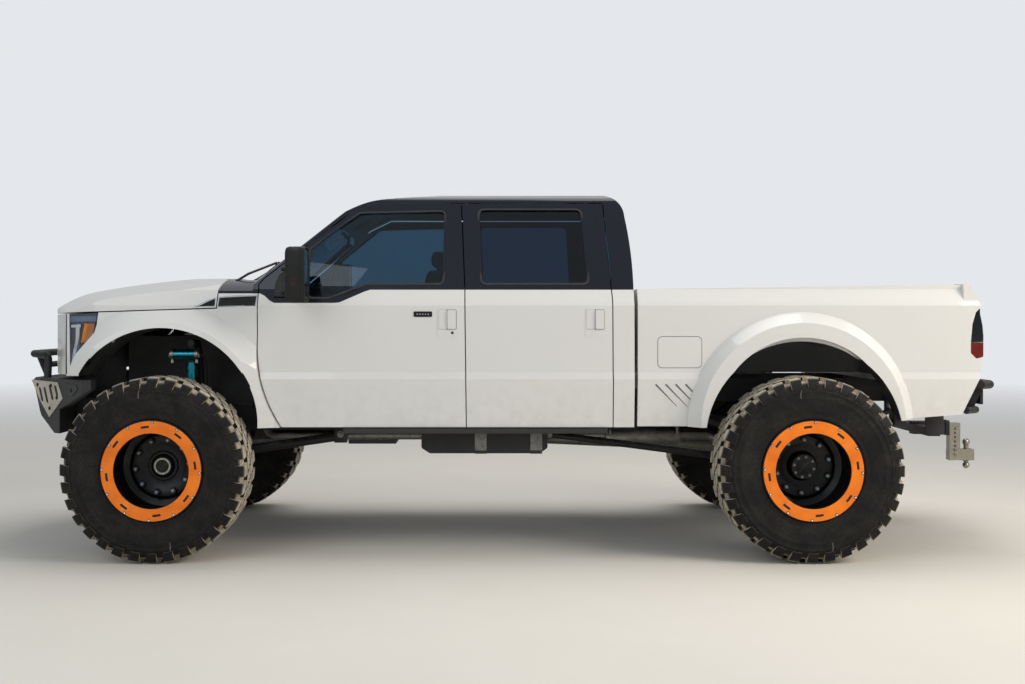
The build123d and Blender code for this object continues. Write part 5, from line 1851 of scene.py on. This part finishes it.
@dataclass
class Underbody:
    """Straps, brackets, bolts and brake parts under the body."""

    def build(self) -> None:
        """Builds the pieces under the body."""
        self.tank_straps()
        for side in Side:
            self.leaves(side)
            self.brakes(side)
            self.brackets(side)
        self.exhaust_parts()

    def tank_straps(self) -> None:
        """Adds the tank's two steel straps."""
        piece = Piece("tank_straps")
        piece.use(Finish.STEEL)
        for x in (0.215, -0.140):
            low, high = x - 0.038, x + 0.038
            outline = [(0.470, 0.888), (0.7906, 0.888), (0.7946, 0.880), (0.7946, 0.640),
                       (0.776, 0.6115), (0.470, 0.6115), (0.470, 0.6155), (0.774, 0.6155),
                       (0.7906, 0.642), (0.7906, 0.884), (0.470, 0.884)]
            piece.prism(outline, "X", low, high)
        piece.build("chassis", "dull_steel", bevel=0.001)

    def leaves(self, side: Side) -> None:
        """Adds the rear spring's lower leaves, U-bolts and clips.

        Args:
            side: The side it is on.
        """
        piece = Piece("leaf_pack_left", side)
        piece.use(Finish.CHASSIS)
        for index, reach in enumerate((0.42, 0.30, 0.18)):
            top = 0.689 - 0.0085 * index
            path = []
            for step in range(13):
                x = -reach + reach * 2 * step / 12
                path.append((LAYOUT.rear_axle_x + x, top + 0.26 * x * x))
            outline = [*path, *((x, z - 0.0075) for x, z in reversed(path))]
            piece.prism(outline, "Y", 0.486, 0.554)
        piece.use(Finish.STEEL)
        for x in (LAYOUT.rear_axle_x - 0.064, LAYOUT.rear_axle_x + 0.064):
            piece.tube([(x, 0.472, 0.480), (x, 0.472, 0.752), (x, 0.568, 0.752),
                        (x, 0.568, 0.480)], 0.0075, 10, 0.02)
            for y in (0.472, 0.568):
                piece.bolt((x, y, 0.492), (0.0, 0.0, -1.0), 0.013, 0.014)
        piece.build("chassis", "chassis_black", bevel=0.001)

    def brakes(self, side: Side) -> None:
        """Adds a brake disc behind each wheel.

        Args:
            side: The side it is on.
        """
        for end, body, y in (("front", "wheel_front_left", 0.948),
                             ("rear", "wheel_rear_left", 0.952)):
            x, _, z = LAYOUT.axle(end)
            disc = Piece(f"brake_disc_{end}_left", side)
            disc.use(Finish.STEEL)
            disc.lathe(((0.096, 0.0), (0.178, 0.0), (0.178, 0.010), (0.096, 0.010)),
                       (x, y, z), (0.0, 1.0, 0.0), 64, True)
            disc.lathe(((0.096, 0.017), (0.178, 0.017), (0.178, 0.027), (0.096, 0.027)),
                       (x, y, z), (0.0, 1.0, 0.0), 64, True)
            disc.lathe(((0.060, 0.010), (0.110, 0.010), (0.110, 0.030), (0.060, 0.030)),
                       (x, y, z), (0.0, 1.0, 0.0), 48, True)
            disc.build(body, "dull_steel", bevel=0.001)

    def brackets(self, side: Side) -> None:
        """Adds bolts on the axles' brackets and the rail.

        Args:
            side: The side it is on.
        """
        piece = Piece("frame_bolts_left", side)
        piece.use(Finish.STEEL)
        for x, z in ((1.140, 0.715), (1.480, 0.840), (0.440, 0.830), (-0.640, 0.830),
                     (-0.228, 0.720), (-1.135, 0.900), (-2.480, 0.905)):
            y = 0.466 if x not in (1.140, -0.228, -1.135, -2.480) else {
                1.140: 0.5405, -0.228: 0.6205, -1.135: 0.5255, -2.480: 0.5255}[x]
            piece.bolt((x, y, z), (0.0, 1.0, 0.0), 0.017, 0.014)
        piece.build("chassis", "dull_steel", bevel=0.001)

    def exhaust_parts(self) -> None:
        """Adds the muffler's straps."""
        piece = Piece("muffler_straps")
        piece.use(Finish.STEEL)
        for x in (-1.060, -0.700):
            piece.lathe(((0.0725, 0.0), (0.0755, 0.0), (0.0755, 0.032), (0.0725, 0.032)),
                        (x, 0.290, 0.690), (1.0, 0.0, 0.0), 40, True)
        piece.build("chassis", "dull_steel", bevel=0.0008)


@dataclass
class Hitch:
    """The ball mount's pins, bolts and the receiver's collar."""

    def build(self) -> None:
        """Builds the hitch's small parts."""
        piece = Piece("hitch_pins")
        piece.use(Finish.STEEL)
        piece.tube([(-2.900, -0.060, 0.717), (-2.900, 0.064, 0.717), (-2.900, 0.076, 0.700)],
                   0.0079, 12, 0.012)
        for z in (0.530, 0.560):
            piece.tube([(-3.088, -0.0385, z), (-3.088, 0.0395, z)], 0.0076, 14)
            piece.bolt((-3.088, 0.0385, z), (0.0, 1.0, 0.0), 0.011, 0.005, washer=False)
        piece.bolt((-3.175, 0.0, 0.4900), (0.0, 0.0, -1.0), 0.021, 0.010)
        piece.use(Finish.CHASSIS)
        ring = rectangle((-0.052, 0.665), (0.052, 0.769), 0.010)
        hole = rectangle((-0.0335, 0.6835), (0.0335, 0.7505), 0.004)
        rings = [[(x, a, b) for a, b in outline] for x, outline in (
            (-3.0445, ring), (-3.018, ring), (-3.018, hole), (-3.0445, hole))]
        piece.loft(rings, around=True, caps=False)
        piece.build("chassis", "dull_steel", bevel=0.001)


@dataclass
class Seals:
    """Black seals round the side windows."""

    side: Side

    def build(self) -> None:
        """Builds the seals on both doors."""
        for end, outline in (("front", WINDOWS.front), ("rear", WINDOWS.rear)):
            piece = Piece(f"{end}_window_seal_left", self.side)
            piece.use(Finish.PLASTIC)
            points = WINDOWS.smooth(outline)
            outer = WINDOWS.grow(points, 0.012)
            rings = []
            for ring, lift in ((outer, 0.0022), (outer, -0.004), (points, -0.012),
                               (points, 0.0005)):
                rings.append([(x, WINDOWS.y(z) + lift, z) for x, z in ring])
            piece.loft(rings, around=True, caps=False)
            piece.build(f"{end}_door_left", "black_plastic", bevel=0.0)


@dataclass(frozen=True)
class Windows:
    """The side windows' outlines and the glass's lean."""

    front: tuple[tuple[float, float], ...] = (
        (0.453, 1.701), (0.447, 2.160), (0.985, 2.148), (1.290, 1.912), (1.290, 1.612),
        (1.165, 1.612), (0.925, 1.701),
    )
    rear: tuple[tuple[float, float], ...] = (
        (-0.458, 1.701), (-0.420, 2.170), (0.224, 2.170), (0.204, 1.701),
    )

    def y(self, z: float) -> float:
        """The cab side's half width at a height above the belt.

        Args:
            z: The height.

        Returns:
            The half width of the cab's outer face.
        """
        if z < 1.661:
            return LAYOUT.skin_y(z)
        start, middle, end = (0.955, 1.661), (0.8655, 1.9465), (0.752, 2.232)
        span = end[1] - start[1]
        t = (z - start[1]) / span
        bulge = middle[0] - (start[0] + end[0]) / 2
        return start[0] + (end[0] - start[0]) * t + bulge * 4 * t * (1 - t)

    def smooth(self, outline: Sequence[tuple[float, float]], radius: float = 0.03,
               steps: int = 5) -> list[tuple[float, float]]:
        """Rounds an outline's corners.

        Args:
            outline: (X, Z) points.
            radius: The corners' radius.
            steps: Points along each corner.

        Returns:
            The rounded outline.
        """
        points = [Vector((x, 0.0, z)) for x, z in outline]
        closed = [points[-1], *points, points[0]]
        result: list[tuple[float, float]] = []
        for before, corner, after in zip(closed, closed[1:], closed[2:]):
            back, ahead = before - corner, after - corner
            reach = min(radius / math.tan(back.angle(ahead) / 2), back.length / 2.1,
                        ahead.length / 2.1)
            start, end = corner + back.normalized() * reach, corner + ahead.normalized() * reach
            for step in range(steps + 1):
                t = step / steps
                point = start * (1 - t) ** 2 + corner * 2 * t * (1 - t) + end * t * t
                result.append((point.x, point.z))
        return result

    def grow(self, outline: Sequence[tuple[float, float]], amount: float
             ) -> list[tuple[float, float]]:
        """Moves an outline's points out along their normals.

        Args:
            outline: (X, Z) points.
            amount: How far.

        Returns:
            The grown outline.
        """
        area = sum(a[0] * b[1] - b[0] * a[1] for a, b in zip(outline, [*outline[1:], outline[0]]))
        sign = 1.0 if area > 0 else -1.0
        result = []
        count = len(outline)
        for index in range(count):
            before, after = outline[index - 1], outline[(index + 1) % count]
            along = Vector((after[0] - before[0], after[1] - before[1])).normalized()
            x, z = outline[index]
            result.append((x + along.y * amount * sign, z - along.x * amount * sign))
        return result


WINDOWS = Windows()


@dataclass
class Cushion:
    """A stuffed cushion: a side outline with a width, remeshed and inflated."""

    name: str
    outline: tuple[tuple[float, float], ...]
    half_width: float
    shrink: float = 0.010
    cap: float = 0.024
    voxel: float = 0.0136

    def edge(self) -> list[tuple[float, float]]:
        """The sewn edge's outline, seen from the side."""
        return WINDOWS.grow(WINDOWS.smooth(self.outline, 0.05), -self.shrink)

    def seam_y(self) -> float:
        """How far the side seams lie from the cushion's middle."""
        return self.half_width - self.shrink

    def mesh(self) -> bpy.types.Mesh:
        """Makes the cushion's mesh about the centre plane.

        Returns:
            The inflated mesh.
        """
        shape = Piece(f"{self.name}_form")
        shape.use(Finish.CLOTH)
        shape.prism(self.edge(), "Y", -self.seam_y(), self.seam_y())
        data = bpy.data.meshes.new(self.name)
        bmesh.ops.recalc_face_normals(shape.mesh, faces=shape.mesh.faces)
        shape.mesh.to_mesh(data)
        data.materials.append(Finish.CLOTH.material())
        form = bpy.data.objects.new(f"{self.name}_form", data)
        bpy.context.collection.objects.link(form)
        remesh = form.modifiers.new("even", "REMESH")
        remesh.mode = "VOXEL"
        remesh.voxel_size = self.voxel
        remesh.use_smooth_shade = True
        even = bpy.data.meshes.new_from_object(
            form.evaluated_get(bpy.context.evaluated_depsgraph_get()))
        form.modifiers.clear()
        form.data = even
        self.inflate(form)
        result = form.data
        bpy.data.objects.remove(form)
        if not result.materials:
            result.materials.append(Finish.CLOTH.material())
        for polygon in result.polygons:
            polygon.use_smooth = True
        return result

    def inflate(self, form: bpy.types.Object) -> None:
        """Blows the form up with cloth pressure, its seams held.

        Args:
            form: The evenly meshed form.
        """
        seam = self.seam_y() - 0.006
        held = [vertex.index for vertex in form.data.vertices
                if abs(vertex.co.y) > seam and self.rim(vertex.co) < 0.014]
        group = form.vertex_groups.new(name="seams")
        group.add(held, 1.0, "REPLACE")
        start = [vertex.co.copy() for vertex in form.data.vertices]
        cloth = form.modifiers.new("stuffing", "CLOTH")
        cloth.settings.use_pressure = True
        cloth.settings.uniform_pressure_force = 4.0
        cloth.settings.effector_weights.gravity = 0.0
        cloth.settings.vertex_group_mass = "seams"
        cloth.point_cache.frame_start = 1
        cloth.point_cache.frame_end = 20
        for frame in range(1, 21):
            bpy.context.scene.frame_set(frame)
        swollen = form.evaluated_get(bpy.context.evaluated_depsgraph_get())
        ends = [vertex.co.copy() for vertex in swollen.data.vertices]
        form.modifiers.remove(cloth)
        for vertex, before, after in zip(form.data.vertices, start, ends):
            move = after - before
            if move.length > self.cap:
                move *= self.cap / move.length
            vertex.co = before + move
        bpy.context.scene.frame_set(1)

    def rim(self, point: Vector) -> float:
        """How far a point lies from the outline, seen from the side."""
        inner = self.edge()
        flat = Vector((point.x, point.z))
        best = 1.0
        for first, second in zip(inner, [*inner[1:], inner[0]]):
            a, b = Vector(first), Vector(second)
            span = b - a
            t = max(0.0, min(1.0, (flat - a).dot(span) / max(span.length_squared, 1e-9)))
            best = min(best, (flat - a - span * t).length)
        return best


def place_cushion(name: str, mesh: bpy.types.Mesh, y: float, replaces: Sequence[str] = ()
                  ) -> None:
    """Puts a cushion's mesh in the cabin.

    Args:
        name: The piece's name.
        mesh: The cushion's mesh, about the centre plane.
        y: Its offset to the left.
        replaces: CAD nodes it stands for.
    """
    piece = bpy.data.objects.new(name, mesh)
    piece.location = (0.0, y, 0.0)
    bpy.context.collection.objects.link(piece)
    smooth = piece.modifiers.new("smooth", "SUBSURF")
    smooth.levels = smooth.render_levels = 1
    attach(piece, "chassis")
    if replaces:
        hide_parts(*replaces)


@dataclass
class Seats:
    """Two front seats and a split rear bench, each cushion stuffed on its own."""

    front_y: float = 0.400
    rear_y: float = 0.350
    front_base: tuple[tuple[float, float], ...] = (
        (0.610, 1.150), (0.615, 1.262), (0.700, 1.284), (0.960, 1.296), (1.060, 1.300),
        (1.078, 1.230), (1.050, 1.150),
    )
    front_back: tuple[tuple[float, float], ...] = (
        (0.575, 1.190), (0.680, 1.290), (0.640, 1.470), (0.572, 1.770), (0.545, 1.795),
        (0.468, 1.795), (0.446, 1.760), (0.520, 1.420),
    )
    front_head: tuple[tuple[float, float], ...] = (
        (0.440, 1.812), (0.456, 1.916), (0.490, 1.926), (0.535, 1.920), (0.548, 1.880),
        (0.545, 1.812),
    )
    rear_base: tuple[tuple[float, float], ...] = (
        (-0.560, 1.150), (-0.560, 1.300), (-0.440, 1.318), (-0.080, 1.324), (-0.034, 1.300),
        (-0.040, 1.150),
    )
    rear_back: tuple[tuple[float, float], ...] = (
        (-0.596, 1.200), (-0.452, 1.330), (-0.500, 1.560), (-0.556, 1.740), (-0.650, 1.740),
        (-0.640, 1.560),
    )
    rear_head: tuple[tuple[float, float], ...] = (
        (-0.652, 1.752), (-0.634, 1.838), (-0.600, 1.842), (-0.566, 1.826), (-0.560, 1.752),
    )

    def build(self) -> None:
        """Builds every cushion, the piping, plinths and posts."""
        piping = Piece("seat_piping")
        piping.use(Finish.PLASTIC)
        first = True
        for name, outline, half, places in (
            ("front_seat_base", self.front_base, 0.255, (self.front_y, -self.front_y)),
            ("front_seat_back", self.front_back, 0.250, (self.front_y, -self.front_y)),
            ("front_headrest", self.front_head, 0.135, (self.front_y, -self.front_y)),
            ("rear_seat_base", self.rear_base, 0.338, (self.rear_y, -self.rear_y)),
            ("rear_seat_back", self.rear_back, 0.338, (self.rear_y, -self.rear_y)),
            ("rear_headrest", self.rear_head, 0.120, (0.430, 0.0, -0.430)),
        ):
            cushion = Cushion(name, outline, half)
            mesh = cushion.mesh()
            edge = cushion.edge()
            for index, y in enumerate(places):
                place_cushion(f"{name}_{index + 1}", mesh, y, ["seats"] if first else [])
                first = False
                for seam in (y - cushion.seam_y(), y + cushion.seam_y()):
                    piping.tube([(x, seam, z) for x, z in (*edge, edge[0])], 0.0045, 6)
        piping.build("chassis", "seat_fabric")
        self.trim()

    def trim(self) -> None:
        """Builds the plinths, side shields and posts."""
        piece = Piece("seat_frames")
        piece.use(Finish.CABIN)
        for y in (self.front_y, -self.front_y):
            piece.box((0.660, y - 0.225, 0.962), (1.020, y + 0.225, 1.145))
            for x in (0.496, ):
                for offset in (-0.055, 0.055):
                    piece.tube([(x, y + offset, 1.780), (x - 0.004, y + offset, 1.825)], 0.006, 10)
            for far in (-0.262, 0.262):
                piece.prism(((0.640, 1.130), (1.000, 1.130), (0.960, 1.190), (0.660, 1.205)),
                            "Y", y + far - 0.004, y + far + 0.004)
        piece.box((-0.560, -0.670, 0.962), (-0.080, 0.670, 1.145))
        piece.build("chassis", "cabin_plastic", bevel=0.006)


@dataclass
class Cabin:
    """The dashboard's hood, screen and vents, the visors and the mirror."""

    def build(self) -> None:
        """Builds the cabin's details."""
        piece = Piece("cabin_details")
        piece.use(Finish.CABIN)
        rings = []
        for y, low, high in ((0.180, 1.655, 1.668), (0.210, 1.650, 1.700), (0.300, 1.645, 1.716),
                             (0.500, 1.645, 1.716), (0.590, 1.650, 1.700), (0.620, 1.655, 1.668)):
            rings.append([(1.225, y, low), (1.400, y, low + 0.012), (1.400, y, high - 0.010),
                          (1.240, y, high)])
        piece.loft(rings)
        for y in (0.420, -0.420):
            panel = rectangle((1.010, y - 0.190), (1.150, y + 0.190), 0.030)
            piece.loft([[(x, b, 2.178 - (x - 1.010) * 0.55 + lift) for x, b in panel]
                        for lift in (0.0, 0.016)])
        piece.box((1.120, -0.135, 1.985), (1.142, 0.135, 2.050))
        piece.tube([(1.140, 0.0, 2.030), (1.190, 0.0, 2.080)], 0.011, 12)
        piece.use(Finish.PLASTIC)
        piece.box((1.205, -0.130, 1.430), (1.222, 0.130, 1.580))
        for y in (0.720, 0.200, -0.200, -0.720):
            piece.box((1.198, y - 0.045, 1.560), (1.216, y + 0.045, 1.620))
        for step in range(3):
            piece.box((1.050, -0.260 + 0.180 * step, 2.200), (1.110, -0.240 + 0.180 * step, 2.206))
        piece.use(Finish.CHROME)
        piece.box((1.1185, -0.125, 1.992), (1.1205, 0.125, 2.043))
        piece.build("chassis", "cabin_plastic", bevel=0.004)
        self.console()

    def console(self) -> None:
        """Builds the centre console, the lever and the steering column's stalks."""
        piece = Piece("centre_console")
        piece.use(Finish.CABIN)
        piece.box((0.560, -0.120, 0.964), (1.200, 0.120, 1.240))
        piece.use(Finish.PLASTIC)
        piece.tube([(1.150, 0.330, 1.600), (1.130, 0.200, 1.640)], 0.010, 10)
        piece.tube([(1.150, 0.470, 1.600), (1.130, 0.580, 1.630)], 0.010, 10)
        piece.build("chassis", "cabin_plastic", bevel=0.010)


def main() -> None:
    """Builds the studio and every piece in order."""
    logging.basicConfig(level=logging.INFO, format="%(name)s: %(message)s")
    Studio().build()
    dress_nodes()
    log.info("nodes dressed")
    for side in Side:
        for end in ("front", "rear"):
            Tyre(end, side).build()
            Wheel(end, side).build()
            DoorTrim(side, end).build()
        for part in (Headlamp, TailLamp, Mirror, FenderTrim, BedTrim, CoilSpring, ShockTrim,
                     Seals):
            part(side).build()
    for whole in (Grille, Wipers, FrontBumperTrim, Underbody, Hitch, Cabin, Seats):
        whole().build()


if __name__ == "__main__":
    main()
